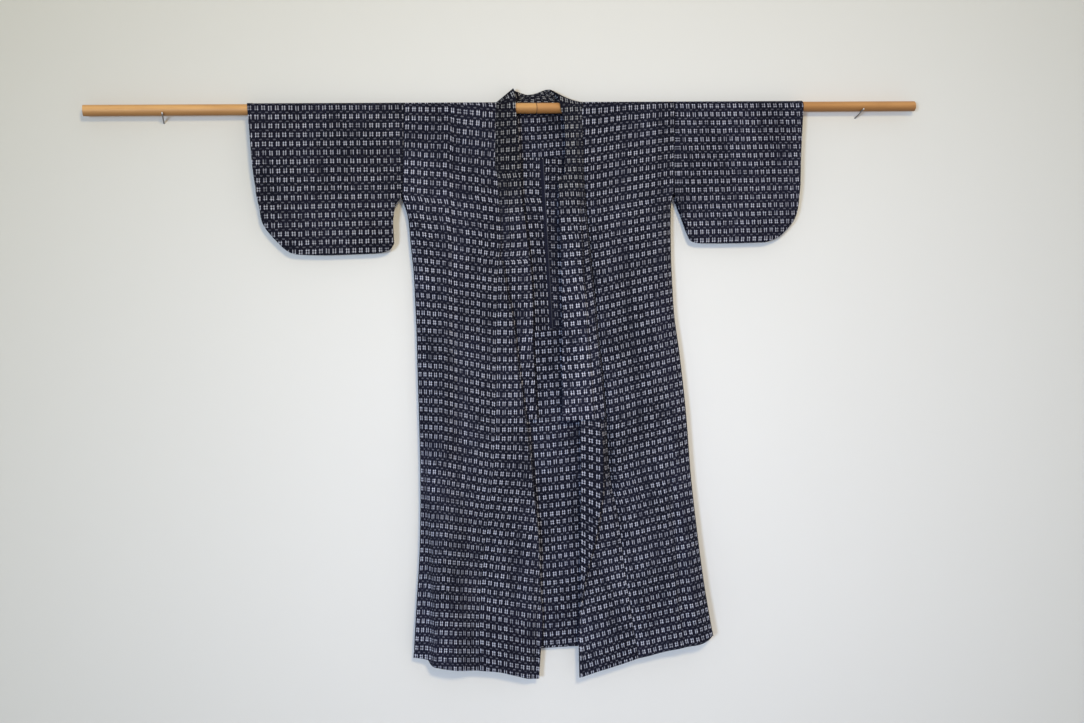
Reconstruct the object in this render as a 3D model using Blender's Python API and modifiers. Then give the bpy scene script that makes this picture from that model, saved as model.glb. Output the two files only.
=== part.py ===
"""An unlined cotton kimono hanging on a round wooden rod, which rests on two pins driven into a wall.

Metres, +Z up. The origin is the middle of the rod's axis, +X runs to the viewer's right along the
rod, and the fronts face -Y. The wall is the plane y = WALL_Y. Each cut piece of cloth is one solid
wall, worked out from the sizes and the short tables below."""

import bisect
import math

import bmesh
import bpy
from mathutils import Vector

# Driving dimensions, in metres
ROD_RADIUS = 0.012
ROD_ENDS = (-0.990, 0.937)
ROD_JOINT_X = -0.009
ROD_JOINT_WIDTH = 0.0010
ROD_JOINT_DEPTH = 0.0005
ROD_CHAMFER = 0.0008
WALL_Y = 0.030
PIN_RADIUS = 0.00175
PIN_REACH = 0.052
PIN_TILT = math.radians(15)
PIN_PLACES = {"wall_pin_left": -0.828, "wall_pin_right": 0.794}
CLOTH = 0.0012
SEAM_GAP = 0.0003
SIDE_SEAM_HALF = 0.0009
LAYER = 0.0022
HANG = ROD_RADIUS + CLOTH / 2 + 0.0007
ARMHOLE = 0.205
BACK_TURN = {"left": 0.030, "right": 0.060}
BACK_SEAM_X = 0.005
NECK_DROP = 0.0221
NECK_STEP = 0.0117
NECK_HALF = 0.092
CLOSING_HEIGHT = 0.04
SEAM_END = 0.02
SETTLE_HEIGHT = 0.03
EDGE_ROLL_TOP = 1.0
EDGE_ROLL_HEIGHT = 0.15
EDGE_ROLL_WIDTH = 0.025
EDGE_ROLL_DEPTH = 0.011
STAND_CURVE = 1.4
UNROLL_WIDTH = 0.020
UNROLL_SHARE = 0.8
GROOVE_FLAT = 0.0015
COLLAR_STEP = 0.0055
COLLAR_GROOVE = 0.008
STRIP_MOST = 0.8
SLEEVE_CLOSING_TOP = 0.13
SLEEVE_CLOSING_HEIGHT = 0.18
SLEEVE_CLOSING = 0.0065
SLEEVE_BACK_FOLDS = -0.6
SLEEVE_FOOT = 0.90

# How the rows of each cloth are spaced down its length, as shares of the length from rod to hem.
# The seams share them, so that the edges of two pieces that are sewn together run side by side.
FRONT_LEVELS = (0, 0.018, 0.045, 0.085, 0.120, 0.130, 0.168, 0.2, 0.235, 0.273, 0.295, 0.33, 0.37, 0.41)
FRONT_LEVELS += (0.455, 0.5, 0.53, 0.562, 0.59, 0.62, 0.655, 0.69, 0.735, 0.785, 0.83, 0.875, 0.92, 0.96, 1)
BACK_LEVELS = (1, 0.93, 0.86, 0.79, 0.72, 0.65, 0.58, 0.51, 0.46, 0.41, 0.355, 0.3, 0.245, 0.2, 0.168, 0.13)
BACK_LEVELS += (0.09, 0.05)
POINT_LEVEL = 0.273
COLLAR_END_LEVEL = 0.562
ROD_TURNS = 8

# How the columns of each cloth are spaced across it. Those of a front run beside its seam at three
# distances, halfway to its first fold, down its four named folds, and halfway from the last to the edge.
BESIDE_SEAM = (GROOVE_FLAT, 0.006, 0.014)
BESIDE_SEAM_MOST = (0.1, 0.25, 0.5)
BACK_SHARES = (0, 0.10, 0.20, 0.31, 0.42, 0.53, 0.64, 0.76, 0.87, 0.95, 1)
BACK_SHARES_FROM = 0.2
PANEL_SHARES = (0.12, 0.2, 0.28, 0.5, 0.72, 0.86, 0.94, 1)
TURN_SHARES = (0.35, 0.7, 1)
FLAP_SHARES = (0.2, 0.45, 0.7, 1)


def table(names, *rows):
    """A table with named columns, as one list for each name."""
    return {name: [row[k] for row in rows] for k, name in enumerate(names.split())}


# Outer edge of the body, and the depth of the side seam that joins its front and back there
SLEEVE_SEAM_TOP = {"left": -0.3115, "right": 0.3205}
SIDE = table(
    "z left right left_y right_y",
    (-0.205, -0.3240, 0.3055, 0.002, 0.002),
    (-0.245, -0.3150, 0.3008, 0.002, 0.001),
    (-0.300, -0.3101, 0.2978, 0.002, 0.000),
    (-0.380, -0.3062, 0.2950, 0.002, -0.002),
    (-0.460, -0.3062, 0.2946, 0.002, -0.004),
    (-0.580, -0.3085, 0.3030, 0.002, -0.007),
    (-0.720, -0.3112, 0.3105, 0.002, -0.010),
    (-0.850, -0.3155, 0.3135, 0.002, -0.012),
    (-0.985, -0.3240, 0.3213, 0.002, -0.014),
    (-1.110, -0.3375, 0.3315, 0.002, -0.016),
    (-1.240, -0.3510, 0.3475, 0.002, -0.017),
)

# Inner edge of each front panel: the collar seam down to the overlap's point, then the overlap's seam
FRONT_SEAM = table(
    "z left right",
    (0.000, -0.1040, 0.0960),
    (-0.060, -0.1080, 0.0945),
    (-0.139, -0.1115, 0.0940),
    (-0.162, -0.1075, 0.0942),
    (-0.227, -0.1070, 0.0955),
    (-0.300, -0.1066, 0.0990),
    (-0.345, -0.1135, 0.1015),
    (-0.400, -0.1200, 0.1045),
    (-0.443, -0.1230, 0.1068),
    (-0.523, -0.1285, 0.1092),
    (-0.600, -0.1335, 0.1150),
    (-0.700, -0.1400, 0.1190),
    (-0.800, -0.1480, 0.1205),
    (-0.870, -0.1585, 0.1245),
    (-0.935, -0.1700, 0.1325),
    (-1.040, -0.1868, 0.1410),
    (-1.151, -0.1992, 0.1512),
    (-1.280, -0.2060, 0.1662),
)

# How deep the cloth is drawn in along that seam, and how far to each side
SEAM_GROOVE = table(
    "z left right left_half right_half",
    (0.000, 0.0007, 0.0007, 0.0050, 0.0050),
    (-0.200, 0.0010, 0.0012, 0.0050, 0.0050),
    (-0.290, 0.0010, 0.0055, 0.0050, 0.0050),
    (-0.345, 0.0010, 0.0080, 0.0050, 0.0050),
    (-0.716, 0.0010, 0.0085, 0.0050, 0.0052),
    (-0.750, 0.0010, 0.0140, 0.0050, 0.0090),
    (-0.850, 0.0010, 0.0140, 0.0050, 0.0090),
    (-0.930, 0.0010, 0.0050, 0.0050, 0.0070),
    (-1.050, 0.0010, 0.0015, 0.0050, 0.0050),
    (-1.250, 0.0007, 0.0008, 0.0050, 0.0050),
)

# The folds of the left front, from its side: the foot and top of the step, the crest and the valley,
# each by its place across and its depth, and last the depth of the overlap
LEFT_FACE = table(
    "z foot foot_y top top_y crest crest_y valley valley_y seam_y",
    (0.000, -0.3000, -0.0133, -0.2500, -0.0134, -0.2035, -0.0138, -0.1960, -0.0134, -0.0133),
    (-0.080, -0.3000, -0.0133, -0.2500, -0.0138, -0.2100, -0.0168, -0.2020, -0.0138, -0.0138),
    (-0.205, -0.3000, -0.0131, -0.2600, -0.0143, -0.2200, -0.0182, -0.2100, -0.0146, -0.0144),
    (-0.300, -0.2930, -0.0118, -0.2600, -0.0148, -0.2283, -0.0192, -0.2165, -0.0152, -0.0148),
    (-0.450, -0.2880, -0.0112, -0.2640, -0.0160, -0.2405, -0.0214, -0.2180, -0.0160, -0.0154),
    (-0.600, -0.2920, -0.0110, -0.2740, -0.0190, -0.2510, -0.0270, -0.2140, -0.0154, -0.0158),
    (-0.750, -0.2990, -0.0105, -0.2890, -0.0220, -0.2650, -0.0310, -0.2135, -0.0144, -0.0160),
    (-0.850, -0.3075, -0.0098, -0.3010, -0.0250, -0.2780, -0.0340, -0.2120, -0.0140, -0.0158),
    (-1.000, -0.3050, -0.0096, -0.2975, -0.0285, -0.2742, -0.0350, -0.2020, -0.0140, -0.0154),
    (-1.110, -0.3085, -0.0096, -0.3010, -0.0290, -0.2690, -0.0352, -0.2030, -0.0144, -0.0154),
    (-1.250, -0.3150, -0.0098, -0.3070, -0.0292, -0.2668, -0.0352, -0.2110, -0.0150, -0.0156),
)

# The folds of the right front, from the seam: a low rise, the lip, the valley, and the ridge by the side
RIGHT_FACE = table(
    "z rise rise_y lip lip_y valley valley_y ridge ridge_y seam_y",
    (0.000, 0.2000, -0.0133, 0.2450, -0.0134, 0.2600, -0.0133, 0.2800, -0.0133, -0.0133),
    (-0.205, 0.2000, -0.0146, 0.2400, -0.0146, 0.2560, -0.0142, 0.2750, -0.0140, -0.0142),
    (-0.345, 0.2000, -0.0164, 0.2380, -0.0168, 0.2520, -0.0164, 0.2700, -0.0150, -0.0150),
    (-0.550, 0.2050, -0.0176, 0.2420, -0.0190, 0.2560, -0.0184, 0.2740, -0.0172, -0.0154),
    (-0.800, 0.2100, -0.0190, 0.2450, -0.0216, 0.2610, -0.0186, 0.2790, -0.0206, -0.0156),
    (-0.920, 0.2120, -0.0200, 0.2470, -0.0236, 0.2650, -0.0170, 0.2840, -0.0238, -0.0156),
    (-1.050, 0.2180, -0.0210, 0.2530, -0.0252, 0.2715, -0.0168, 0.2920, -0.0266, -0.0156),
    (-1.140, 0.2220, -0.0216, 0.2570, -0.0262, 0.2735, -0.0182, 0.2980, -0.0282, -0.0158),
    (-1.260, 0.2280, -0.0222, 0.2640, -0.0270, 0.2800, -0.0250, 0.3080, -0.0296, -0.0160),
)

# Height of each hem by its place across
LEFT_HEM = table(
    "x z",
    (-0.3510, -1.2220),
    (-0.3206, -1.2281),
    (-0.3122, -1.2398),
    (-0.2968, -1.2441),
    (-0.2611, -1.2522),
    (-0.2070, -1.2620),
    (-0.1600, -1.2703),
    (-0.1293, -1.2803),
    (-0.0974, -1.2908),
    (-0.0745, -1.2958),
)
RIGHT_HEM = table(
    "x z",
    (0.0287, -1.3003),
    (0.0736, -1.2898),
    (0.1284, -1.2796),
    (0.1635, -1.2712),
    (0.1834, -1.2680),
    (0.2322, -1.2596),
    (0.2748, -1.2545),
    (0.3135, -1.2502),
    (0.3352, -1.2432),
    (0.3475, -1.2345),
)
BACK_HEM = table(
    "x z",
    (-0.3510, -1.2225),
    (-0.2000, -1.2310),
    (-0.0420, -1.2325),
    (0.0300, -1.2350),
    (0.2000, -1.2380),
    (0.3475, -1.2365),
)

# The overlaps: the fold down each, the width beyond it, how far that part is folded, 1 being flat on
# the rest, how far its own edge stands off the rest, and the radius of the roll towards the fold. The
# left one is turned under and the right one is turned over to the front.
LEFT_FOLD = table(
    "z x flap turn stand roll",
    (-0.345, -0.1060, 0.0040, 1.0, 0.0, 0.0040),
    (-0.412, -0.0977, 0.0080, 1.0, 0.0, 0.0080),
    (-0.480, -0.0871, 0.0240, 1.0, 0.0, 0.0095),
    (-0.549, -0.0821, 0.0370, 1.0, 0.0, 0.0100),
    (-0.617, -0.0765, 0.0500, 1.0, 0.0, 0.0100),
    (-0.690, -0.0702, 0.0640, 1.0, 0.0, 0.0100),
    (-0.800, -0.0618, 0.0500, 1.0, 0.0, 0.0095),
    (-0.870, -0.0592, 0.0360, 1.0, 0.0, 0.0085),
    (-0.983, -0.0537, 0.0130, 1.0, 0.0, 0.0060),
    (-1.060, -0.0552, 0.0070, 0.8, 0.0, 0.0030),
    (-1.120, -0.0566, 0.0060, 0.3, 0.0, 0.0010),
    (-1.180, -0.0615, 0.0060, 0.0, 0.0, 0.0000),
    (-1.295, -0.0745, 0.0060, 0.0, 0.0, 0.0000),
)
RIGHT_FOLD = table(
    "z x flap turn stand roll",
    (-0.345, 0.0900, 0.0040, 1.0, 0.0000, 0.0),
    (-0.410, 0.0900, 0.0050, 1.0, 0.0000, 0.0),
    (-0.454, 0.0872, 0.0085, 1.0, 0.0000, 0.0),
    (-0.558, 0.0712, 0.0260, 1.0, 0.0000, 0.0),
    (-0.662, 0.0590, 0.0440, 1.0, 0.0003, 0.0),
    (-0.731, 0.0558, 0.0470, 1.0, 0.0006, 0.0),
    (-0.758, 0.0547, 0.0470, 1.0, 0.0140, 0.0),
    (-0.858, 0.0500, 0.0470, 1.0, 0.0180, 0.0),
    (-0.925, 0.0462, 0.0400, 1.0, 0.0160, 0.0),
    (-0.993, 0.0430, 0.0290, 1.0, 0.0130, 0.0),
    (-1.040, 0.0405, 0.0165, 1.0, 0.0080, 0.0),
    (-1.090, 0.0375, 0.0085, 0.8, 0.0030, 0.0),
    (-1.140, 0.0352, 0.0060, 0.4, 0.0010, 0.0),
    (-1.200, 0.0320, 0.0060, 0.0, 0.0000, 0.0),
    (-1.304, 0.0285, 0.0060, 0.0, 0.0000, 0.0),
)

# The collar down each front: its sewn edge below the overlap's point, and its free edge
LEFT_COLLAR = table(
    "z seam free",
    (0.000, -0.1040, -0.0598),
    (-0.100, -0.1095, -0.0540),
    (-0.210, -0.1066, -0.0525),
    (-0.256, -0.1060, -0.0479),
    (-0.300, -0.1060, -0.0440),
    (-0.345, -0.1080, -0.0408),
    (-0.412, -0.1100, -0.0388),
    (-0.480, -0.1140, -0.0408),
    (-0.549, -0.1230, -0.0434),
    (-0.617, -0.1320, -0.0430),
    (-0.700, -0.1420, -0.0424),
    (-0.730, -0.1440, -0.0422),
)
RIGHT_COLLAR = table(
    "z seam free",
    (0.000, 0.0960, 0.0440),
    (-0.030, 0.0952, 0.0500),
    (-0.060, 0.0945, 0.0517),
    (-0.100, 0.0940, 0.0496),
    (-0.140, 0.0941, 0.0470),
    (-0.152, 0.0942, 0.0466),
    (-0.164, 0.0943, 0.0318),
    (-0.210, 0.0950, 0.0292),
    (-0.280, 0.0985, 0.0274),
    (-0.345, 0.1010, 0.0276),
    (-0.410, 0.1040, 0.0255),
    (-0.454, 0.1072, 0.0238),
    (-0.558, 0.1110, 0.0187),
    (-0.662, 0.1165, 0.0139),
    (-0.710, 0.1180, 0.0116),
    (-0.730, 0.1190, 0.0110),
)

# The section across the collar by its distance from the sewn edge: the low strip beside that edge, the
# ridge beyond it and the free edge, each with how far it lies behind the front's own surface, or
# before it where negative
LEFT_COLLAR_DEPTH = table(
    "z strip seam low ridge free",
    (0.000, 0.018, 0.0000, -0.0010, -0.0035, -0.0045),
    (-0.040, 0.018, 0.0000, 0.0000, -0.0010, -0.0020),
    (-0.120, 0.018, 0.0002, 0.0015, 0.0045, 0.0060),
    (-0.200, 0.018, 0.0005, 0.0025, 0.0075, 0.0095),
    (-0.300, 0.018, 0.0014, 0.0050, 0.0100, 0.0110),
    (-0.345, 0.020, 0.0060, 0.0110, 0.0120, 0.0115),
    (-0.412, 0.024, 0.0100, 0.0165, 0.0135, 0.0118),
    (-0.480, 0.034, 0.0130, 0.0190, 0.0140, 0.0120),
    (-0.549, 0.046, 0.0140, 0.0190, 0.0142, 0.0122),
    (-0.617, 0.060, 0.0150, 0.0190, 0.0145, 0.0124),
    (-0.700, 0.074, 0.0155, 0.0190, 0.0145, 0.0126),
)
RIGHT_COLLAR_DEPTH = table(
    "z strip seam low ridge free",
    (0.000, 0.012, -0.0004, -0.0015, -0.0035, -0.0045),
    (-0.060, 0.012, -0.0010, -0.0020, -0.0045, -0.0035),
    (-0.160, 0.012, -0.0010, -0.0025, -0.0065, -0.0040),
    (-0.250, 0.015, -0.0012, -0.0035, -0.0120, -0.0050),
    (-0.300, 0.018, -0.0012, -0.0040, -0.0150, -0.0060),
    (-0.345, 0.021, -0.0038, -0.0045, -0.0160, -0.0070),
    (-0.454, 0.025, -0.0038, -0.0055, -0.0170, -0.0075),
    (-0.558, 0.027, -0.0040, -0.0060, -0.0170, -0.0070),
    (-0.700, 0.030, -0.0044, -0.0064, -0.0160, -0.0070),
)

# The collar round the neck, from the left front over the rod, behind it and back to the right front:
# its sewn edge by its angle over the rod, or its height behind it, and its free edge
NECK = table(
    "seam_x seam_turn seam_z free_x free_y free_z",
    (-0.1030, 30, None, -0.0585, -0.0175, 0.0180),
    (-0.1020, 60, None, -0.0590, -0.0125, 0.0340),
    (-0.1005, 90, None, -0.0600, -0.0020, 0.0450),
    (-0.0997, 120, None, -0.0590, 0.0080, 0.0455),
    (-0.0989, 150, None, -0.0530, 0.0140, 0.0430),
    (-0.0980, 180, None, -0.0450, 0.0180, 0.0410),
    (-NECK_HALF, 180, -NECK_STEP, -0.0340, 0.0203, 0.0375),
    (-0.0460, 180, -(NECK_STEP + NECK_DROP) / 2, -0.0210, 0.0215, 0.0350),
    (0.0000, 180, -NECK_DROP, -0.0020, 0.0218, 0.0385),
    (0.0460, 180, -(NECK_STEP + NECK_DROP) / 2, 0.0130, 0.0213, 0.0440),
    (NECK_HALF, 180, -NECK_STEP, 0.0240, 0.0198, 0.0468),
    (0.0975, 180, None, 0.0305, 0.0170, 0.0460),
    (0.0980, 150, None, 0.0340, 0.0130, 0.0430),
    (0.0982, 120, None, 0.0370, 0.0070, 0.0400),
    (0.0984, 90, None, 0.0395, -0.0020, 0.0350),
    (0.0985, 60, None, 0.0415, -0.0110, 0.0265),
    (0.0985, 30, None, 0.0430, -0.0165, 0.0150),
)

# Sleeves: the edge below the armhole, the bottom with its round outer corner, and the cuff
SLEEVE_INNER = {
    "left": table("z x", (-0.205, -0.3240), (-0.225, -0.3370), (-0.250, -0.3450), (-0.300, -0.3490)),
    "right": table("z x", (-0.205, 0.3055), (-0.230, 0.3200), (-0.260, 0.3300), (-0.300, 0.3390)),
}
SLEEVE_BOTTOM = {
    "left": table(
        "share x z",
        (0.00, -0.3490, -0.3000),
        (0.05, -0.3610, -0.3120),
        (0.11, -0.3800, -0.3200),
        (0.40, -0.4890, -0.3212),
        (0.60, -0.5510, -0.3186),
        (0.70, -0.5800, -0.3080),
        (0.78, -0.6050, -0.2860),
        (0.86, -0.6220, -0.2600),
        (0.93, -0.6330, -0.2280),
        (1.00, -0.6412, -0.1900),
    ),
    "right": table(
        "share x z",
        (0.00, 0.3390, -0.3000),
        (0.04, 0.3450, -0.3130),
        (0.10, 0.3670, -0.3190),
        (0.40, 0.4700, -0.3215),
        (0.56, 0.5250, -0.3215),
        (0.66, 0.5600, -0.3130),
        (0.76, 0.5920, -0.2890),
        (0.85, 0.6120, -0.2640),
        (0.92, 0.6200, -0.2370),
        (1.00, 0.6228, -0.2010),
    ),
}
CUFF = {
    "left": table("z x", (0.000, -0.6510), (-0.062, -0.6488), (-0.115, -0.6470), (-0.190, -0.6412)),
    "right": table("z x", (0.000, 0.6415), (-0.050, 0.6358), (-0.115, 0.6290), (-0.201, 0.6228)),
}

# How wide the sleeves' rows are spaced across and down
SLEEVE_SHARES = (0, 0.05, 0.11, 0.24, 0.4, 0.54, 0.66, 0.77, 0.86, 0.93, 1)
SLEEVE_LEVELS = (0.071, 0.179, 0.339, 0.498, 0.67, 0.83, 0.92, 0.965, 0.99)

# Broad soft folds of the hanging cloth: a line from its top to its foot, its half width, and how far
# it stands towards the viewer at its middle, or lies back where negative
FOLDS = table(
    "face x_top z_top x_low z_low half_width rise",
    ("front", -0.150, -0.03, -0.178, -0.72, 0.020, 0.0012),
    ("front", -0.135, -0.66, -0.150, -1.36, 0.016, 0.0016),
    ("front", 0.135, -0.05, 0.150, -0.62, 0.016, 0.0012),
    ("front", 0.176, -0.10, 0.196, -0.86, 0.018, -0.0014),
    ("front", 0.092, -0.98, 0.082, -1.38, 0.016, 0.0016),
    ("back", -0.200, -0.10, -0.225, -1.32, 0.045, 0.0030),
    ("back", -0.085, -0.45, -0.080, -1.34, 0.040, -0.0022),
    ("back", 0.085, -0.14, 0.105, -1.32, 0.045, 0.0026),
    ("back", 0.215, -0.30, 0.235, -1.34, 0.040, -0.0024),
    ("sleeve", -0.405, -0.05, -0.385, -0.34, 0.026, -0.0014),
    ("sleeve", -0.520, -0.03, -0.535, -0.33, 0.026, 0.0018),
    ("sleeve", 0.430, -0.05, 0.415, -0.34, 0.026, 0.0018),
    ("sleeve", 0.550, -0.03, 0.560, -0.33, 0.026, -0.0014),
)
FOLD_FADE = 0.10

# Pieces sewn inside the back, by the levels where they start and end: the two linings, and between
# them the allowance of the middle seam, which is pressed to the left
SHOULDER_LINING = (0.020, 0.090)
SEAT_LINING = (0.410, 0.996)
SEAM_ALLOWANCE = (0.0925, 0.4075)
SEAM_ALLOWANCE_WIDTH = 0.0105


def smooth(places, values, at):
    """The value at a place between a table's rows, by a curve that never overshoots them."""
    if places[0] > places[-1]:
        places = [-place for place in places]
        at = -at
    if at <= places[0]:
        return values[0]
    if at >= places[-1]:
        return values[-1]
    k = bisect.bisect_right(places, at) - 1
    slopes = [
        (values[n + 1] - values[n]) / (places[n + 1] - places[n]) for n in range(len(places) - 1)
    ]

    def tangent(n):
        if n == 0:
            return slopes[0]
        if n == len(slopes):
            return slopes[-1]
        if slopes[n - 1] * slopes[n] <= 0:
            return 0.0
        return 2 * slopes[n - 1] * slopes[n] / (slopes[n - 1] + slopes[n])

    step = places[k + 1] - places[k]
    t = (at - places[k]) / step
    return (
        values[k] * (1 + 2 * t) * (1 - t) ** 2
        + values[k + 1] * t * t * (3 - 2 * t)
        + tangent(k) * step * t * (1 - t) ** 2
        - tangent(k + 1) * step * t * t * (1 - t)
    )


def shares(count):
    return [k / count for k in range(count + 1)]


def by_height(rows, name, z):
    """A column of a table that is read by height."""
    return smooth(rows["z"], rows[name], z)


def ease(t):
    """0 below 0, 1 above 1, and a soft step between."""
    t = min(max(t, 0.0), 1.0)
    return t * t * (3 - 2 * t)


def mix(a, b, t):
    return a + (b - a) * t


def signed(side, length):
    """A length away from the middle, on the left or the right."""
    return -length if side == "left" else length


def side_edge(side, z):
    """The body's outer edge at a height."""
    if z > -ARMHOLE:
        return mix(SLEEVE_SEAM_TOP[side], SIDE[side][0], -z / ARMHOLE)
    return by_height(SIDE, side, z)


def folds(face, x, z):
    """How far the soft folds of a face stand towards the viewer."""
    total = 0.0
    for k, of_face in enumerate(FOLDS["face"]):
        top = FOLDS["z_top"][k]
        low = FOLDS["z_low"][k]
        if of_face != face or not low < z < top:
            continue
        middle = mix(FOLDS["x_top"][k], FOLDS["x_low"][k], (z - top) / (low - top))
        away = (x - middle) / FOLDS["half_width"][k]
        fade = ease((top - z) / FOLD_FADE)
        total += FOLDS["rise"][k] * math.exp(-away * away) * fade
    return total


def closing(z):
    """0 where the armhole is open, 1 where the side seam joins front and back."""
    return ease((-z - ARMHOLE) / CLOSING_HEIGHT)


FACES = {"left": LEFT_FACE, "right": RIGHT_FACE}
FACE_LINES = {"left": ("valley", "crest", "top", "foot"), "right": ("rise", "lip", "valley", "ridge")}
OVERLAP_FOLDS = {"left": LEFT_FOLD, "right": RIGHT_FOLD}
HEMS = {"left": LEFT_HEM, "right": RIGHT_HEM}
COLLARS = {"left": LEFT_COLLAR, "right": RIGHT_COLLAR}
COLLAR_DEPTHS = {"left": LEFT_COLLAR_DEPTH, "right": RIGHT_COLLAR_DEPTH}


def groove(side, x, z):
    """How far the cloth is drawn in beside the seam of a front."""
    away = max(abs(x - by_height(FRONT_SEAM, side, z)) - GROOVE_FLAT, 0.0)
    away /= by_height(SEAM_GROOVE, side + "_half", z)
    return by_height(SEAM_GROOVE, side, z) * math.exp(-away * away)


def front_depth(side, x, z):
    """The depth of the front's own surface, which runs on under the collar and over the overlap."""
    face = FACES[side]
    lines = FACE_LINES[side]
    edge_y = by_height(SIDE, side + "_y", z) - SIDE_SEAM_HALF
    edge_y = mix(by_height(face, lines[-1] + "_y", z), edge_y, closing(z))
    places = [by_height(FRONT_SEAM, side, z), *[by_height(face, line, z) for line in lines]]
    depths = [by_height(face, "seam_y", z), *[by_height(face, line + "_y", z) for line in lines]]
    depth = smooth([*places, side_edge(side, z)], [*depths, edge_y], x) + groove(side, x, z)
    if side == "left":
        rolled = ease((-z - EDGE_ROLL_TOP) / EDGE_ROLL_HEIGHT) * EDGE_ROLL_DEPTH
        free = by_height(LEFT_FOLD, "x", z)
        depth += rolled * ease((x - free + EDGE_ROLL_WIDTH) / EDGE_ROLL_WIDTH)
    return depth - folds("front", x, z)


def back_depth(side, x, z):
    """The depth of the back's own surface."""
    face = HANG - folds("back", x, z)
    share = min(abs(x - side_edge(side, z)) / BACK_TURN[side], 1.0)
    round_turn = math.sqrt(1 - (1 - share) ** 2)
    return mix(face, by_height(SIDE, side + "_y", z) + SIDE_SEAM_HALF, (1 - round_turn) * closing(z))


def over_rod(x, degrees):
    """A point of the cloth over the rod: 0 is its front, 90 its top and 180 its back."""
    turn = math.radians(degrees)
    return Vector((x, -HANG * math.cos(turn), HANG * math.sin(turn)))


def hem_height(side, x):
    return smooth(HEMS[side]["x"], HEMS[side]["z"], x)


def front_column(side, k, z):
    """Where a column of a front runs at a height, the first by its seam and the last by its outer edge."""
    seam = by_height(FRONT_SEAM, side, z)
    edge = side_edge(side, z)
    lines = [by_height(FACES[side], line, z) for line in FACE_LINES[side]]
    reach = lines[0] - seam
    beside = [min(far / abs(reach), most) for far, most in zip(BESIDE_SEAM, BESIDE_SEAM_MOST)]
    places = [seam, *[seam + reach * share for share in beside]]
    places += [mix(places[-1], lines[0], 0.5), *lines, mix(lines[-1], edge, 0.5), edge]
    return places[k]


BODY_COLUMNS = range(len(BACK_SHARES))


def body_rows():
    """The rows of a body's cloth, from the back hem over the rod to the front hem."""
    rows = [("back", level) for level in BACK_LEVELS]
    length = -BACK_HEM["z"][0]
    rows += [("back", NECK_DROP / length), ("back", NECK_STEP / length)]
    rows += [("over", 180 - 180 * k / ROD_TURNS) for k in range(ROD_TURNS)]
    rows += [("front", level) for level in FRONT_LEVELS]
    return rows


def neck_edge(side, degrees):
    """Where the collar's seam crosses the rod, by its angle over it."""
    rows = [
        (turn, x)
        for turn, z, x in zip(NECK["seam_turn"], NECK["seam_z"], NECK["seam_x"])
        if z is None and (x < 0) == (side == "left")
    ]
    rows = sorted([*rows, (0, FRONT_SEAM[side][0])])
    return smooth([row[0] for row in rows], [row[1] for row in rows], degrees)


def top_share(side, k):
    """A column's share of the width on top of the rod."""
    inner = FRONT_SEAM[side][0]
    return (front_column(side, k, 0.0) - inner) / (SLEEVE_SEAM_TOP[side] - inner)


def body_point(side, k, row):
    """A point of a body's cloth on one of its columns, the first by its seam, and one of its rows."""
    face, level = row
    half_gap = signed(side, SEAM_GAP / 2)
    if face == "over":
        inner = neck_edge(side, level) + half_gap
        return over_rod(mix(inner, SLEEVE_SEAM_TOP[side] - half_gap, top_share(side, k)), level)
    if face == "front":
        z = level * hem_height(side, front_column(side, k, FRONT_SEAM["z"][-1]))
        x = front_column(side, k, z)
        if k == 0:
            x += half_gap
    else:
        z = level * smooth(BACK_HEM["x"], BACK_HEM["z"], mix(BACK_SEAM_X, SIDE[side][-1], BACK_SHARES[k]))
        inner = BACK_SEAM_X + half_gap
        if level < NECK_DROP / -BACK_HEM["z"][0]:
            inner = signed(side, NECK_HALF) + half_gap
        share = mix(top_share(side, k), BACK_SHARES[k], ease(-z / BACK_SHARES_FROM))
        x = mix(inner, side_edge(side, z), share)
    if k == BODY_COLUMNS[-1] and z > -ARMHOLE - SEAM_END:
        x -= half_gap
    if face == "back":
        return Vector((x, back_depth(side, x, z), z))
    return Vector((x, mix(-HANG, front_depth(side, x, z), ease(-z / SETTLE_HEIGHT)), z))


def overlap_point(side, column, level):
    """A point of an overlap: its panel from the seam to the fold, the turn, and the flap beyond."""
    part, share = column
    fold = OVERLAP_FOLDS[side]
    seam_hem = hem_height(side, FRONT_SEAM[side][-1])
    edge_hem = hem_height(side, fold["x"][-1])
    fold_z = level * edge_hem
    z = fold_z
    if part in ("panel", "beside seam"):
        z = level * hem_height(side, mix(FRONT_SEAM[side][-1], fold["x"][-1], share))
    fold_x, flap, stand, roll = [by_height(fold, name, fold_z) for name in ("x", "flap", "stand", "roll")]
    turn = math.pi * by_height(fold, "turn", fold_z)
    if part in ("panel", "beside seam"):
        seam_x = by_height(FRONT_SEAM, side, level * seam_hem) - signed(side, SEAM_GAP / 2)
        x = mix(seam_x, fold_x, share)
        if part == "beside seam":
            x = seam_x - signed(side, GROOVE_FLAT)
        inside = min(abs(x - fold_x) / roll, 1.0) if roll else 1.0
        rolled = roll * (1 - math.sqrt(1 - (1 - inside) ** 2))
        return Vector((x, front_depth(side, x, z) + rolled, z))
    towards = 1.0 if side == "left" else -1.0
    radius = LAYER / 2
    begun = min(turn, math.pi / 2) if roll else 0.0
    angle = mix(begun, turn, share if part == "turn" else 1.0)
    beyond = flap * share if part == "flap" else 0.0
    inward = radius * (math.sin(angle) - math.sin(begun)) + beyond * math.cos(turn)
    x = fold_x - signed(side, inward)
    lift = roll + radius * (math.cos(begun) - math.cos(angle)) + beyond * math.sin(turn)
    if part == "flap":
        lift += stand * share**STAND_CURVE - roll * ease(beyond / UNROLL_WIDTH) * UNROLL_SHARE
    return Vector((x, front_depth(side, x, z) + towards * lift, z))


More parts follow.
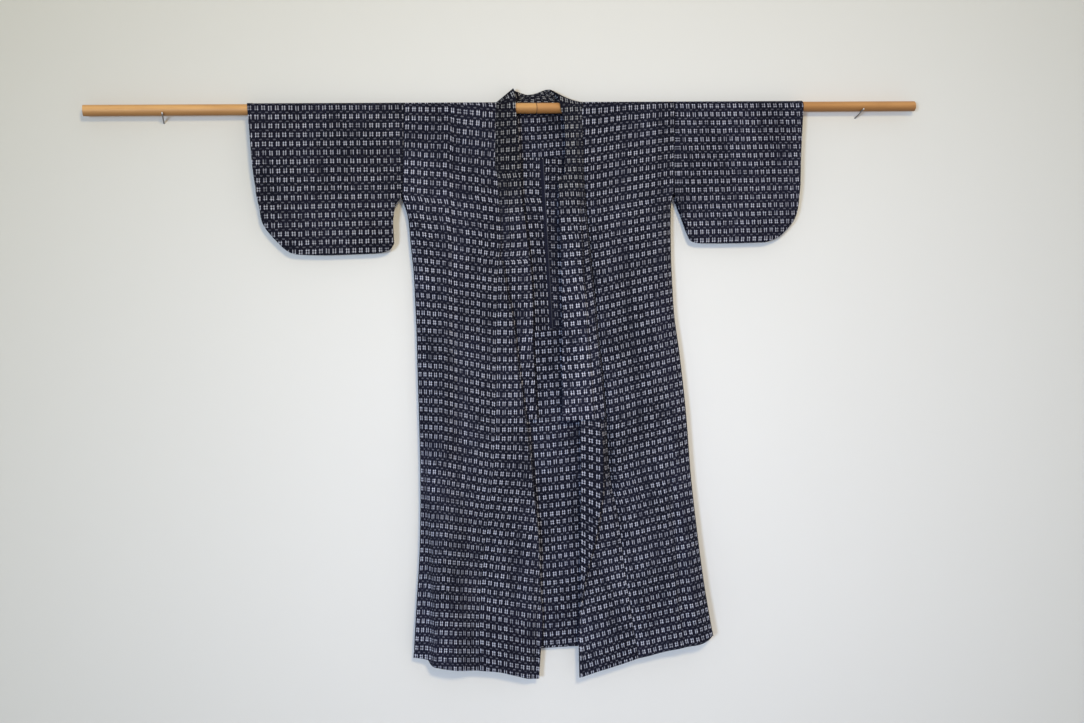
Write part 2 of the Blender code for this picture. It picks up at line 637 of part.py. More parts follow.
def collar_front_point(side, k, level):
    """A point of the collar down a front, on one of its columns from its sewn to its free edge."""
    edges = COLLARS[side]
    depths = COLLAR_DEPTHS[side]
    z = level * hem_height(side, FRONT_SEAM[side][-1])
    seam = by_height(edges, "seam", z) if level > POINT_LEVEL else by_height(FRONT_SEAM, side, z)
    seam -= signed(side, SEAM_GAP)
    width = abs(by_height(edges, "free", z) - seam)
    strip = min(by_height(depths, "strip", z), STRIP_MOST * width)
    step = strip + COLLAR_STEP
    places = [0.0, min(COLLAR_GROOVE, 0.5 * strip), strip, step]
    places += [mix(step, width, share) for share in (1 / 3, 2 / 3, 1)]
    names = ("seam", "low", "ridge", "free")
    seam_y, low_y, ridge_y, free_y = [by_height(depths, name, z) for name in names]
    across = smooth([*places[:4], width], [seam_y, low_y, low_y, ridge_y, free_y], places[k])
    x = seam - signed(side, places[k])
    return Vector((x, mix(-HANG, front_depth(side, x, z), ease(-z / SETTLE_HEIGHT)) + across, z))


COLLAR_COLUMNS = range(7)


def collar_neck_point(k, section):
    """A point of the collar where it passes over the rod and round behind the neck."""
    x = NECK["seam_x"][section]
    seam = over_rod(x, NECK["seam_turn"][section])
    if NECK["seam_z"][section] is not None:
        seam = Vector((x, HANG, NECK["seam_z"][section] + 2 * SEAM_GAP))
    seam.x -= math.copysign(SEAM_GAP, x) if x else 0.0
    free = Vector([NECK[name][section] for name in ("free_x", "free_y", "free_z")])
    return seam.lerp(free, k / COLLAR_COLUMNS[-1])


def collar_sections():
    """The collar's sections, from its left end round the neck to its right end."""
    levels = [level for level in FRONT_LEVELS if level <= COLLAR_END_LEVEL]
    sections = [("left", level) for level in reversed(levels)]
    sections += [("neck", k) for k in range(len(NECK["seam_x"]))]
    sections += [("right", level) for level in levels]
    return sections


def collar_point(k, section):
    place, value = section
    if place == "neck":
        return collar_neck_point(k, value)
    return collar_front_point(place, k, value)


def sleeve_point(side, share, row):
    """A point of a sleeve, from the armhole, 0, to the cuff, 1, on one of its rows round the tube."""
    face, level = row
    inner = SLEEVE_INNER[side]
    bottom = SLEEVE_BOTTOM[side]
    cuff = CUFF[side]
    top_inner_x = SLEEVE_SEAM_TOP[side] + signed(side, SEAM_GAP / 2)
    top_x = mix(top_inner_x, cuff["x"][0], share)
    if face == "over":
        return over_rod(top_x, level)
    low_x = smooth(bottom["share"], bottom["x"], share)
    low_z = smooth(bottom["share"], bottom["z"], share)
    inner_z = level * inner["z"][-1]
    inner_x = by_height(inner, "x", inner_z)
    if inner_z > -ARMHOLE:
        inner_x = side_edge(side, inner_z)
    inner_x += signed(side, SEAM_GAP / 2)
    cuff_x = by_height(cuff, "x", level * cuff["z"][-1])
    # The sides and the ends are blended, less what the corners count twice
    low_inner_x = inner["x"][-1] + signed(side, SEAM_GAP / 2)
    corner_x = mix(top_x, mix(low_inner_x, cuff["x"][-1], share), level)
    x = mix(top_x, low_x, level) + mix(inner_x, cuff_x, share) - corner_x
    z = level * low_z
    half = HANG - SLEEVE_CLOSING * ease((-z - SLEEVE_CLOSING_TOP) / SLEEVE_CLOSING_HEIGHT)
    half += folds("sleeve", x, z) * (1 if face == "front" else SLEEVE_BACK_FOLDS)
    if level > SLEEVE_FOOT:
        half *= math.sqrt(max(0.0, 1 - ((level - SLEEVE_FOOT) / (1 - SLEEVE_FOOT)) ** 2))
    return Vector((x, -half if face == "front" else half, z))


def sleeve_rows():
    """The rows round a sleeve, from its bottom fold up the back, over the rod and down the front."""
    rows = [("back", 1)] + [("back", level) for level in reversed(SLEEVE_LEVELS)]
    rows += [("over", 180 - 180 * k / ROD_TURNS) for k in range(ROD_TURNS + 1)]
    rows += [("front", level) for level in SLEEVE_LEVELS] + [("front", 1)]
    return rows


def lining_point(column, level):
    """A point of a lining, one layer inward from the back that carries it."""
    side, k = column
    point = body_point(side, k, ("back", level))
    if k == 0:
        point.x = BACK_SEAM_X
    point.y -= LAYER
    return point


def allowance_point(share, level):
    """A point of the middle seam's allowance, from the seam, 0, to its own edge, 1."""
    seam = body_point("left", 0, ("back", level))
    beside = body_point("left", 1, ("back", level))
    point = seam.lerp(beside, share * SEAM_ALLOWANCE_WIDTH / (seam - beside).length)
    point.y -= CLOTH + SEAM_GAP
    return point


def levels_between(ends):
    """The back's own levels between two ends, and the ends themselves."""
    inside = [level for level in reversed(BACK_LEVELS) if ends[0] < level < ends[1]]
    return [ends[0], *inside, ends[1]]


def material(name, colour, roughness, metallic=0.0):
    made = bpy.data.materials.new(name)
    made.use_nodes = True
    shader = made.node_tree.nodes["Principled BSDF"]
    shader.inputs["Base Color"].default_value = (*colour, 1.0)
    shader.inputs["Roughness"].default_value = roughness
    shader.inputs["Metallic"].default_value = metallic
    made.diffuse_color = (*colour, 1.0)
    return made


def add_object(name, mesh, collection, finish):
    made = bpy.data.objects.new(name, mesh)
    made.data.materials.append(finish)
    collection.objects.link(made)
    return made


def cloth(name, across, along, place, collection, finish):
    """A grid whose points are moved onto the cloth's form, then given the cloth's thickness."""
    grid = bmesh.new()
    columns = len(across) - 1
    rows = len(along) - 1
    bmesh.ops.create_grid(grid, x_segments=columns, y_segments=rows, size=0.5)
    for vertex in grid.verts:
        column = across[round((vertex.co.x + 0.5) * columns)]
        row = along[round((vertex.co.y + 0.5) * rows)]
        vertex.co = place(column, row)
    bmesh.ops.remove_doubles(grid, verts=grid.verts, dist=1e-5)
    bmesh.ops.recalc_face_normals(grid, faces=grid.faces)
    mesh = bpy.data.meshes.new(name)
    grid.to_mesh(mesh)
    grid.free()
    mesh.shade_smooth()
    made = add_object(name, mesh, collection, finish)
    wall = made.modifiers.new("Wall", "SOLIDIFY")
    wall.thickness = CLOTH
    wall.offset = 0.0
    return made


def turned(name, profile, steps, collection, finish):
    """A shape turned about its own Z axis from its profile, which runs from top to bottom."""
    outline = bmesh.new()
    points = [outline.verts.new((radius, 0.0, height)) for radius, height in profile]
    for a, b in zip(points, points[1:]):
        outline.edges.new((a, b))
    mesh = bpy.data.meshes.new(name)
    outline.to_mesh(mesh)
    outline.free()
    made = add_object(name, mesh, collection, finish)
    screw = made.modifiers.new("Turn", "SCREW")
    screw.steps = steps
    screw.render_steps = steps
    screw.use_merge_vertices = True
    screw.merge_threshold = 0.0001
    return made


def add_rod(collection):
    wood = material("Ramin wood", (0.62, 0.37, 0.16), 0.5)
    top = ROD_ENDS[1]
    low = ROD_ENDS[0]
    half = ROD_JOINT_WIDTH / 2
    profile = [
        (0.0, top),
        (ROD_RADIUS - ROD_CHAMFER, top),
        (ROD_RADIUS, top - ROD_CHAMFER),
        (ROD_RADIUS, ROD_JOINT_X + half),
        (ROD_RADIUS - ROD_JOINT_DEPTH, ROD_JOINT_X + half / 2),
        (ROD_RADIUS - ROD_JOINT_DEPTH, ROD_JOINT_X - half / 2),
        (ROD_RADIUS, ROD_JOINT_X - half),
        (ROD_RADIUS, low + ROD_CHAMFER),
        (ROD_RADIUS - ROD_CHAMFER, low),
        (0.0, low),
    ]
    rod = turned("rod", profile, 24, collection, wood)
    rod.rotation_euler = (0.0, math.pi / 2, 0.0)


def add_pins(collection):
    """Two straight pins, which rise a little from the wall and pass close under the rod."""
    steel = material("Dull steel", (0.35, 0.35, 0.36), 0.45, 1.0)
    contact = ROD_RADIUS + PIN_RADIUS + SEAM_GAP
    touch = Vector((0.0, -contact * math.sin(PIN_TILT), -contact * math.cos(PIN_TILT)))
    outward = Vector((0.0, -math.cos(PIN_TILT), math.sin(PIN_TILT)))
    # The wall end is square to the pin, its lower rim in the wall's plane, and the free end is rounded
    behind = (WALL_Y - touch.y) / math.cos(PIN_TILT) - PIN_RADIUS * math.tan(PIN_TILT)
    for name, x in PIN_PLACES.items():
        tip = PIN_REACH - behind
        rounding = [
            (PIN_RADIUS * math.sin(turn), tip - PIN_RADIUS * (1 - math.cos(turn)))
            for turn in (0.0, math.radians(30), math.radians(60), math.radians(90))
        ]
        profile = [*rounding, (PIN_RADIUS, -behind), (0.0, -behind)]
        pin = turned(name, profile, 16, collection, steel)
        pin.location = Vector((x, touch.y, touch.z))
        pin.rotation_euler = outward.to_track_quat("Z", "Y").to_euler()


def add_body(side, collection, finish):
    def place(k, row):
        return body_point(side, k, row)

    cloth(f"body_{side}", BODY_COLUMNS, body_rows(), place, collection, finish)


def add_overlap(side, collection, finish):
    columns = [("panel", 0), ("beside seam", 0)]
    columns += [("panel", share) for share in PANEL_SHARES]
    columns += [("turn", share) for share in TURN_SHARES]
    columns += [("flap", share) for share in FLAP_SHARES]
    levels = [level for level in FRONT_LEVELS if level >= POINT_LEVEL]

    def place(column, level):
        return overlap_point(side, column, level)

    cloth(f"overlap_{side}", columns, levels, place, collection, finish)


def add_sleeve(side, collection, finish):
    def place(share, row):
        return sleeve_point(side, share, row)

    cloth(f"sleeve_{side}", SLEEVE_SHARES, sleeve_rows(), place, collection, finish)


def add_back_pieces(collection, finish, plain):
    columns = [("left", k) for k in reversed(BODY_COLUMNS[:-1])]
    columns += [("right", k) for k in BODY_COLUMNS[1:-1]]
    cloth("shoulder_lining", columns, levels_between(SHOULDER_LINING), lining_point, collection, finish)
    cloth("seat_lining", columns, levels_between(SEAT_LINING), lining_point, collection, finish)
    levels = levels_between(SEAM_ALLOWANCE)
    cloth("back_seam_allowance", shares(1), levels, allowance_point, collection, plain)


def main():
    for old in list(bpy.data.objects):
        bpy.data.objects.remove(old)
    collection = bpy.data.collections.new("Kimono on wall rod")
    bpy.context.scene.collection.children.link(collection)
    for side in ("left", "right"):
        add_body(side, collection, material(f"Indigo cotton, {side} body", (0.022, 0.028, 0.062), 0.85))
        add_overlap(side, collection, material(f"Indigo cotton, {side} overlap", (0.026, 0.032, 0.07), 0.85))
        add_sleeve(side, collection, material(f"Indigo cotton, {side} sleeve", (0.02, 0.026, 0.058), 0.85))
    cloth(
        "collar",
        COLLAR_COLUMNS,
        collar_sections(),
        collar_point,
        collection,
        material("Indigo cotton, collar", (0.03, 0.036, 0.075), 0.85),
    )
    add_back_pieces(
        collection,
        material("Indigo cotton, linings", (0.024, 0.03, 0.068), 0.88),
        material("Plain indigo selvedge", (0.012, 0.014, 0.035), 0.9),
    )
    add_rod(collection)
    add_pins(collection)


main()
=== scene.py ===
"""Looks of the cotton kimono on its wall rod: kasuri cloth, wooden rod, steel pins, and the wall it hangs on.

Metres, +Z up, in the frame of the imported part. +X runs to the viewer's right, and the fronts face -Y."""

import bisect
import math

import bmesh
import bpy
from mathutils import Matrix, Vector, noise


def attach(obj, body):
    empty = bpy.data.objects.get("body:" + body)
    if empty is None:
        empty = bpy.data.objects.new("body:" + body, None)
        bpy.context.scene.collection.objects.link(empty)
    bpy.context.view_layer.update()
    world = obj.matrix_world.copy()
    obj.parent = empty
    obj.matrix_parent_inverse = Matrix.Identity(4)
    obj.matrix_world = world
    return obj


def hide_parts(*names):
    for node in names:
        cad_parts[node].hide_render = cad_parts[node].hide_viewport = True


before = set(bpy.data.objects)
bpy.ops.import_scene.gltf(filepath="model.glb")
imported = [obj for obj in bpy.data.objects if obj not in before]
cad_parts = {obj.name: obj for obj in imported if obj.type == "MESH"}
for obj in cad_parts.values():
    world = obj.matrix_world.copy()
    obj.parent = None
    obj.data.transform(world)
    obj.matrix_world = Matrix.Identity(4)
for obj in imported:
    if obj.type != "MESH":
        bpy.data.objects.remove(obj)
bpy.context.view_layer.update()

# Driving dimensions, in metres
ROD_RADIUS = 0.012
ROD_ENDS = (-0.990, 0.937)
ROD_JOINT_X = -0.009
ROD_JOINT_WIDTH = 0.0012
ROD_JOINT_DEPTH = 0.0006
WALL_Y = 0.030
FLOOR_Z = -1.62
PIN_RADIUS = 0.00175
PIN_REACH = 0.052
PIN_TILT = math.radians(15)
PIN_PLACES = {"wall_pin_left": -0.828, "wall_pin_right": 0.794}
CLOTH = 0.0008
FOLDED = 0.0019
HEM_WIDTH = 0.012
HEM_STEP = 0.0008
SEAM_GAP = 0.0001
LAYER = 0.0022
HANG = 0.0133
ARMHOLE = 0.196
BACK_SEAM_X = 0.005
NECK_DROP = 0.0221
NECK_STEP = 0.0117
NECK_HALF = 0.092

# The kasuri cloth: the spacing of its marks across and down, and one yarn
COLUMN = 0.0145
ROW = 0.0196
YARN = 0.00045


def table(names, *rows):
    """A table with named columns, as one list for each name."""
    return {name: [row[k] for row in rows] for k, name in enumerate(names.split())}


# Outer edge of the body, and the depth of the side seam that joins its front and back there
SLEEVE_SEAM_TOP = {"left": -0.3115, "right": 0.3205}
SIDE = table(
    "z left right left_y right_y",
    (-0.196, -0.3250, 0.3072, 0.002, 0.002),
    (-0.214, -0.3192, 0.3038, 0.002, 0.002),
    (-0.240, -0.3134, 0.3012, 0.002, 0.001),
    (-0.262, -0.3115, 0.2998, 0.002, 0.001),
    (-0.300, -0.3101, 0.2978, 0.002, 0.000),
    (-0.380, -0.3062, 0.2950, 0.002, -0.002),
    (-0.460, -0.3062, 0.2946, 0.002, -0.004),
    (-0.580, -0.3085, 0.3030, 0.002, -0.007),
    (-0.720, -0.3112, 0.3105, 0.002, -0.010),
    (-0.850, -0.3155, 0.3135, 0.002, -0.012),
    (-0.985, -0.3240, 0.3213, 0.002, -0.014),
    (-1.110, -0.3375, 0.3315, 0.002, -0.016),
    (-1.240, -0.3510, 0.3475, 0.002, -0.017),
)

# Inner edge of each front panel: the collar seam down to the overlap's point, then the overlap's seam
FRONT_SEAM = table(
    "z left right",
    (0.000, -0.1040, 0.0960),
    (-0.060, -0.1080, 0.0945),
    (-0.139, -0.1115, 0.0940),
    (-0.162, -0.1075, 0.0942),
    (-0.227, -0.1070, 0.0955),
    (-0.300, -0.1066, 0.0990),
    (-0.345, -0.1135, 0.1015),
    (-0.400, -0.1200, 0.1045),
    (-0.443, -0.1230, 0.1068),
    (-0.523, -0.1285, 0.1092),
    (-0.600, -0.1335, 0.1150),
    (-0.700, -0.1400, 0.1190),
    (-0.800, -0.1480, 0.1205),
    (-0.870, -0.1585, 0.1245),
    (-0.935, -0.1700, 0.1325),
    (-1.040, -0.1868, 0.1410),
    (-1.151, -0.1992, 0.1512),
    (-1.280, -0.2060, 0.1662),
)

# How deep the cloth is drawn in along that seam, and how far to each side
SEAM_GROOVE = table(
    "z left right left_half right_half",
    (0.000, 0.0007, 0.0007, 0.0050, 0.0050),
    (-0.110, 0.0009, 0.0030, 0.0050, 0.0045),
    (-0.170, 0.0010, 0.0058, 0.0050, 0.0045),
    (-0.290, 0.0010, 0.0075, 0.0050, 0.0045),
    (-0.345, 0.0010, 0.0085, 0.0050, 0.0050),
    (-0.716, 0.0010, 0.0105, 0.0050, 0.0052),
    (-0.750, 0.0010, 0.0165, 0.0050, 0.0085),
    (-0.850, 0.0010, 0.0165, 0.0050, 0.0085),
    (-0.930, 0.0010, 0.0050, 0.0050, 0.0070),
    (-1.050, 0.0010, 0.0015, 0.0050, 0.0050),
    (-1.250, 0.0007, 0.0008, 0.0050, 0.0050),
)


# The folds of the left front, from its side: the foot and top of the step, the crest and the valley,
# each by its place across and its depth, and last the depth of the overlap
LEFT_FACE = table(
    "z foot foot_y top top_y crest crest_y valley valley_y seam_y",
    (0.000, -0.3000, -0.0133, -0.2500, -0.0134, -0.2035, -0.0138, -0.1960, -0.0134, -0.0133),
    (-0.080, -0.3000, -0.0133, -0.2500, -0.0138, -0.2100, -0.0168, -0.2020, -0.0138, -0.0138),
    (-0.205, -0.3000, -0.0131, -0.2600, -0.0143, -0.2200, -0.0182, -0.2100, -0.0146, -0.0144),
    (-0.300, -0.2930, -0.0118, -0.2600, -0.0148, -0.2283, -0.0192, -0.2165, -0.0152, -0.0148),
    (-0.450, -0.2880, -0.0112, -0.2640, -0.0160, -0.2405, -0.0214, -0.2180, -0.0160, -0.0154),
    (-0.600, -0.2920, -0.0110, -0.2740, -0.0190, -0.2510, -0.0270, -0.2140, -0.0154, -0.0158),
    (-0.750, -0.2990, -0.0105, -0.2890, -0.0220, -0.2650, -0.0310, -0.2135, -0.0144, -0.0160),
    (-0.850, -0.3075, -0.0098, -0.3010, -0.0250, -0.2780, -0.0340, -0.2120, -0.0140, -0.0158),
    (-1.000, -0.3050, -0.0096, -0.2975, -0.0285, -0.2742, -0.0350, -0.2020, -0.0140, -0.0154),
    (-1.110, -0.3085, -0.0096, -0.3010, -0.0290, -0.2690, -0.0352, -0.2030, -0.0144, -0.0154),
    (-1.250, -0.3150, -0.0098, -0.3070, -0.0292, -0.2668, -0.0352, -0.2110, -0.0150, -0.0156),
)

# The folds of the right front, from the seam: a low rise, the lip, the valley, and the ridge by the side
RIGHT_FACE = table(
    "z rise rise_y lip lip_y valley valley_y ridge ridge_y seam_y",
    (0.000, 0.2000, -0.0133, 0.2450, -0.0134, 0.2600, -0.0133, 0.2800, -0.0133, -0.0133),
    (-0.205, 0.2000, -0.0146, 0.2400, -0.0146, 0.2560, -0.0142, 0.2750, -0.0140, -0.0142),
    (-0.345, 0.2000, -0.0164, 0.2380, -0.0168, 0.2520, -0.0164, 0.2700, -0.0150, -0.0150),
    (-0.550, 0.2050, -0.0176, 0.2420, -0.0190, 0.2560, -0.0184, 0.2740, -0.0172, -0.0154),
    (-0.800, 0.2100, -0.0190, 0.2450, -0.0216, 0.2610, -0.0186, 0.2790, -0.0206, -0.0156),
    (-0.920, 0.2120, -0.0200, 0.2470, -0.0236, 0.2650, -0.0170, 0.2840, -0.0238, -0.0156),
    (-1.050, 0.2180, -0.0210, 0.2530, -0.0252, 0.2715, -0.0168, 0.2920, -0.0266, -0.0156),
    (-1.140, 0.2220, -0.0216, 0.2570, -0.0262, 0.2735, -0.0182, 0.2980, -0.0282, -0.0158),
    (-1.260, 0.2280, -0.0222, 0.2640, -0.0270, 0.2800, -0.0250, 0.3080, -0.0296, -0.0160),
)

# Height of each hem by its place across
LEFT_HEM = table(
    "x z",
    (-0.3510, -1.2220),
    (-0.3206, -1.2281),
    (-0.3122, -1.2398),
    (-0.2968, -1.2441),
    (-0.2611, -1.2522),
    (-0.2070, -1.2620),
    (-0.1600, -1.2703),
    (-0.1293, -1.2803),
    (-0.0974, -1.2908),
    (-0.0745, -1.2958),
)
RIGHT_HEM = table(
    "x z",
    (0.0287, -1.3003),
    (0.0736, -1.2898),
    (0.1284, -1.2796),
    (0.1635, -1.2712),
    (0.1834, -1.2680),
    (0.2322, -1.2596),
    (0.2748, -1.2545),
    (0.3135, -1.2502),
    (0.3352, -1.2432),
    (0.3475, -1.2345),
)
BACK_HEM = table(
    "x z",
    (-0.3510, -1.2225),
    (-0.2000, -1.2310),
    (-0.0420, -1.2325),
    (0.0300, -1.2350),
    (0.2000, -1.2380),
    (0.3475, -1.2365),
)

# The overlaps: the fold down each, the width beyond it, how far that part is folded, 1 being flat on
# the rest, how far its own edge stands off the rest, and the radius of the roll towards the fold. The
# left one is turned under and the right one is turned over to the front.
LEFT_FOLD = table(
    "z x flap turn stand roll",
    (-0.345, -0.1060, 0.0040, 1.0, 0.0, 0.0040),
    (-0.412, -0.0977, 0.0080, 1.0, 0.0, 0.0080),
    (-0.480, -0.0871, 0.0240, 1.0, 0.0, 0.0095),
    (-0.549, -0.0821, 0.0370, 1.0, 0.0, 0.0100),
    (-0.617, -0.0765, 0.0500, 1.0, 0.0, 0.0100),
    (-0.690, -0.0702, 0.0640, 1.0, 0.0, 0.0100),
    (-0.800, -0.0618, 0.0500, 1.0, 0.0, 0.0095),
    (-0.870, -0.0592, 0.0360, 1.0, 0.0, 0.0085),
    (-0.983, -0.0537, 0.0130, 1.0, 0.0, 0.0060),
    (-1.060, -0.0552, 0.0070, 0.8, 0.0, 0.0030),
    (-1.120, -0.0566, 0.0060, 0.3, 0.0, 0.0010),
    (-1.180, -0.0615, 0.0060, 0.0, 0.0, 0.0000),
    (-1.295, -0.0745, 0.0060, 0.0, 0.0, 0.0000),
)
RIGHT_FOLD = table(
    "z x flap turn stand roll",
    (-0.345, 0.0900, 0.0040, 1.0, 0.0000, 0.0),
    (-0.410, 0.0900, 0.0050, 1.0, 0.0000, 0.0),
    (-0.454, 0.0872, 0.0085, 1.0, 0.0000, 0.0),
    (-0.558, 0.0712, 0.0260, 1.0, 0.0000, 0.0),
    (-0.662, 0.0590, 0.0440, 1.0, 0.0003, 0.0),
    (-0.731, 0.0558, 0.0470, 1.0, 0.0006, 0.0),
    (-0.758, 0.0547, 0.0470, 1.0, 0.0140, 0.0),
    (-0.858, 0.0500, 0.0470, 1.0, 0.0180, 0.0),
    (-0.925, 0.0462, 0.0400, 1.0, 0.0160, 0.0),
    (-0.993, 0.0430, 0.0290, 1.0, 0.0130, 0.0),
    (-1.040, 0.0405, 0.0165, 1.0, 0.0080, 0.0),
    (-1.090, 0.0375, 0.0085, 0.8, 0.0030, 0.0),
    (-1.140, 0.0352, 0.0060, 0.4, 0.0010, 0.0),
    (-1.200, 0.0320, 0.0060, 0.0, 0.0000, 0.0),
    (-1.304, 0.0285, 0.0060, 0.0, 0.0000, 0.0),
)

# The collar down each front: its sewn edge below the overlap's point, and its free edge
LEFT_COLLAR = table(
    "z seam free",
    (0.000, -0.1040, -0.0598),
    (-0.100, -0.1095, -0.0540),
    (-0.210, -0.1066, -0.0525),
    (-0.256, -0.1060, -0.0479),
    (-0.300, -0.1060, -0.0440),
    (-0.345, -0.1080, -0.0408),
    (-0.412, -0.1100, -0.0388),
    (-0.480, -0.1140, -0.0408),
    (-0.549, -0.1230, -0.0434),
    (-0.617, -0.1320, -0.0430),
    (-0.700, -0.1420, -0.0424),
    (-0.730, -0.1440, -0.0422),
)
RIGHT_COLLAR = table(
    "z seam free",
    (0.000, 0.0960, 0.0440),
    (-0.030, 0.0952, 0.0500),
    (-0.060, 0.0945, 0.0517),
    (-0.100, 0.0940, 0.0496),
    (-0.140, 0.0941, 0.0470),
    (-0.152, 0.0942, 0.0466),
    (-0.164, 0.0943, 0.0318),
    (-0.210, 0.0950, 0.0292),
    (-0.280, 0.0985, 0.0274),
    (-0.345, 0.1010, 0.0276),
    (-0.410, 0.1040, 0.0255),
    (-0.454, 0.1072, 0.0238),
    (-0.558, 0.1110, 0.0187),
    (-0.662, 0.1165, 0.0139),
    (-0.710, 0.1180, 0.0116),
    (-0.730, 0.1190, 0.0110),
)

# The section across the collar by its distance from the sewn edge: the low strip beside that edge, the
# ridge beyond it and the free edge, each with how far it lies behind the front's own surface, or
# before it where negative
LEFT_COLLAR_DEPTH = table(
    "z strip seam low ridge free",
    (0.000, 0.018, 0.0000, -0.0010, -0.0035, -0.0045),
    (-0.040, 0.018, 0.0000, 0.0000, -0.0010, -0.0020),
    (-0.120, 0.018, 0.0002, 0.0015, 0.0045, 0.0060),
    (-0.200, 0.018, 0.0005, 0.0025, 0.0075, 0.0095),
    (-0.300, 0.018, 0.0014, 0.0050, 0.0100, 0.0110),
    (-0.345, 0.020, 0.0060, 0.0110, 0.0120, 0.0115),
    (-0.412, 0.024, 0.0100, 0.0165, 0.0135, 0.0118),
    (-0.480, 0.034, 0.0130, 0.0190, 0.0140, 0.0120),
    (-0.549, 0.046, 0.0140, 0.0190, 0.0142, 0.0122),
    (-0.617, 0.060, 0.0150, 0.0190, 0.0145, 0.0124),
    (-0.700, 0.074, 0.0155, 0.0190, 0.0145, 0.0126),
)
RIGHT_COLLAR_DEPTH = table(
    "z strip seam low ridge free",
    (0.000, 0.012, -0.0004, -0.0015, -0.0035, -0.0045),
    (-0.060, 0.012, -0.0010, -0.0020, -0.0045, -0.0035),
    (-0.160, 0.012, -0.0010, -0.0025, -0.0065, -0.0040),
    (-0.250, 0.015, -0.0012, -0.0035, -0.0120, -0.0050),
    (-0.300, 0.018, -0.0012, -0.0040, -0.0150, -0.0060),
    (-0.345, 0.021, -0.0038, -0.0045, -0.0160, -0.0070),
    (-0.454, 0.025, -0.0038, -0.0055, -0.0170, -0.0075),
    (-0.558, 0.027, -0.0040, -0.0060, -0.0170, -0.0070),
    (-0.700, 0.030, -0.0044, -0.0064, -0.0160, -0.0070),
)
COLLAR_STEP = 0.0055
COLLAR_END = 0.562

# The collar round the neck, from the left front over the rod, behind it and back to the right front:
# its sewn edge by its angle over the rod, or its height behind it, and its free edge
NECK = table(
    "seam_x seam_turn seam_z free_x free_y free_z",
    (-0.1030, 30, None, -0.0585, -0.0175, 0.0180),
    (-0.1020, 60, None, -0.0590, -0.0125, 0.0340),
    (-0.1005, 90, None, -0.0600, -0.0020, 0.0450),
    (-0.0997, 120, None, -0.0590, 0.0080, 0.0455),
    (-0.0989, 150, None, -0.0530, 0.0140, 0.0430),
    (-0.0980, 180, None, -0.0450, 0.0180, 0.0410),
    (-NECK_HALF, 180, -NECK_STEP, -0.0340, 0.0203, 0.0375),
    (-0.0460, 180, -(NECK_STEP + NECK_DROP) / 2, -0.0210, 0.0215, 0.0350),
    (0.0000, 180, -NECK_DROP, -0.0020, 0.0218, 0.0385),
    (0.0460, 180, -(NECK_STEP + NECK_DROP) / 2, 0.0130, 0.0213, 0.0440),
    (NECK_HALF, 180, -NECK_STEP, 0.0240, 0.0198, 0.0468),
    (0.0975, 180, None, 0.0305, 0.0170, 0.0460),
    (0.0980, 150, None, 0.0340, 0.0130, 0.0430),
    (0.0982, 120, None, 0.0370, 0.0070, 0.0400),
    (0.0984, 90, None, 0.0395, -0.0020, 0.0350),
    (0.0985, 60, None, 0.0415, -0.0110, 0.0265),
    (0.0985, 30, None, 0.0430, -0.0165, 0.0150),
)

# Sleeves: the edge below the armhole, the bottom with its round outer corner, and the cuff
SLEEVE_INNER = {
    "left": table(
        "z x",
        (-0.196, -0.3250),
        (-0.206, -0.3335),
        (-0.216, -0.3406),
        (-0.238, -0.3458),
        (-0.257, -0.3480),
        (-0.300, -0.3475),
    ),
    "right": table(
        "z x", (-0.196, 0.3072), (-0.206, 0.3098), (-0.232, 0.3182), (-0.265, 0.3298), (-0.300, 0.3398)
    ),
}
SLEEVE_BOTTOM = {
    "left": table(
        "share x z",
        (0.00, -0.3475, -0.3000),
        (0.03, -0.3555, -0.3117),
        (0.07, -0.3690, -0.3178),
        (0.12, -0.3860, -0.3205),
        (0.40, -0.4890, -0.3212),
        (0.60, -0.5500, -0.3185),
        (0.65, -0.5650, -0.3164),
        (0.69, -0.5774, -0.3116),
        (0.78, -0.6052, -0.2845),
        (0.86, -0.6252, -0.2580),
        (0.91, -0.6325, -0.2410),
        (0.96, -0.6366, -0.2080),
        (1.00, -0.6398, -0.1900),
    ),
    "right": table(
        "share x z",
        (0.00, 0.3398, -0.3000),
        (0.04, 0.3465, -0.3130),
        (0.10, 0.3670, -0.3190),
        (0.40, 0.4700, -0.3215),
        (0.56, 0.5250, -0.3215),
        (0.66, 0.5600, -0.3130),
        (0.76, 0.5920, -0.2890),
        (0.85, 0.6120, -0.2640),
        (0.92, 0.6200, -0.2370),
        (1.00, 0.6228, -0.2010),
    ),
}
CUFF = {
    "left": table("z x", (0.000, -0.6510), (-0.062, -0.6488), (-0.115, -0.6470), (-0.190, -0.6398)),
    "right": table("z x", (0.000, 0.6415), (-0.050, 0.6358), (-0.115, 0.6290), (-0.201, 0.6228)),
}

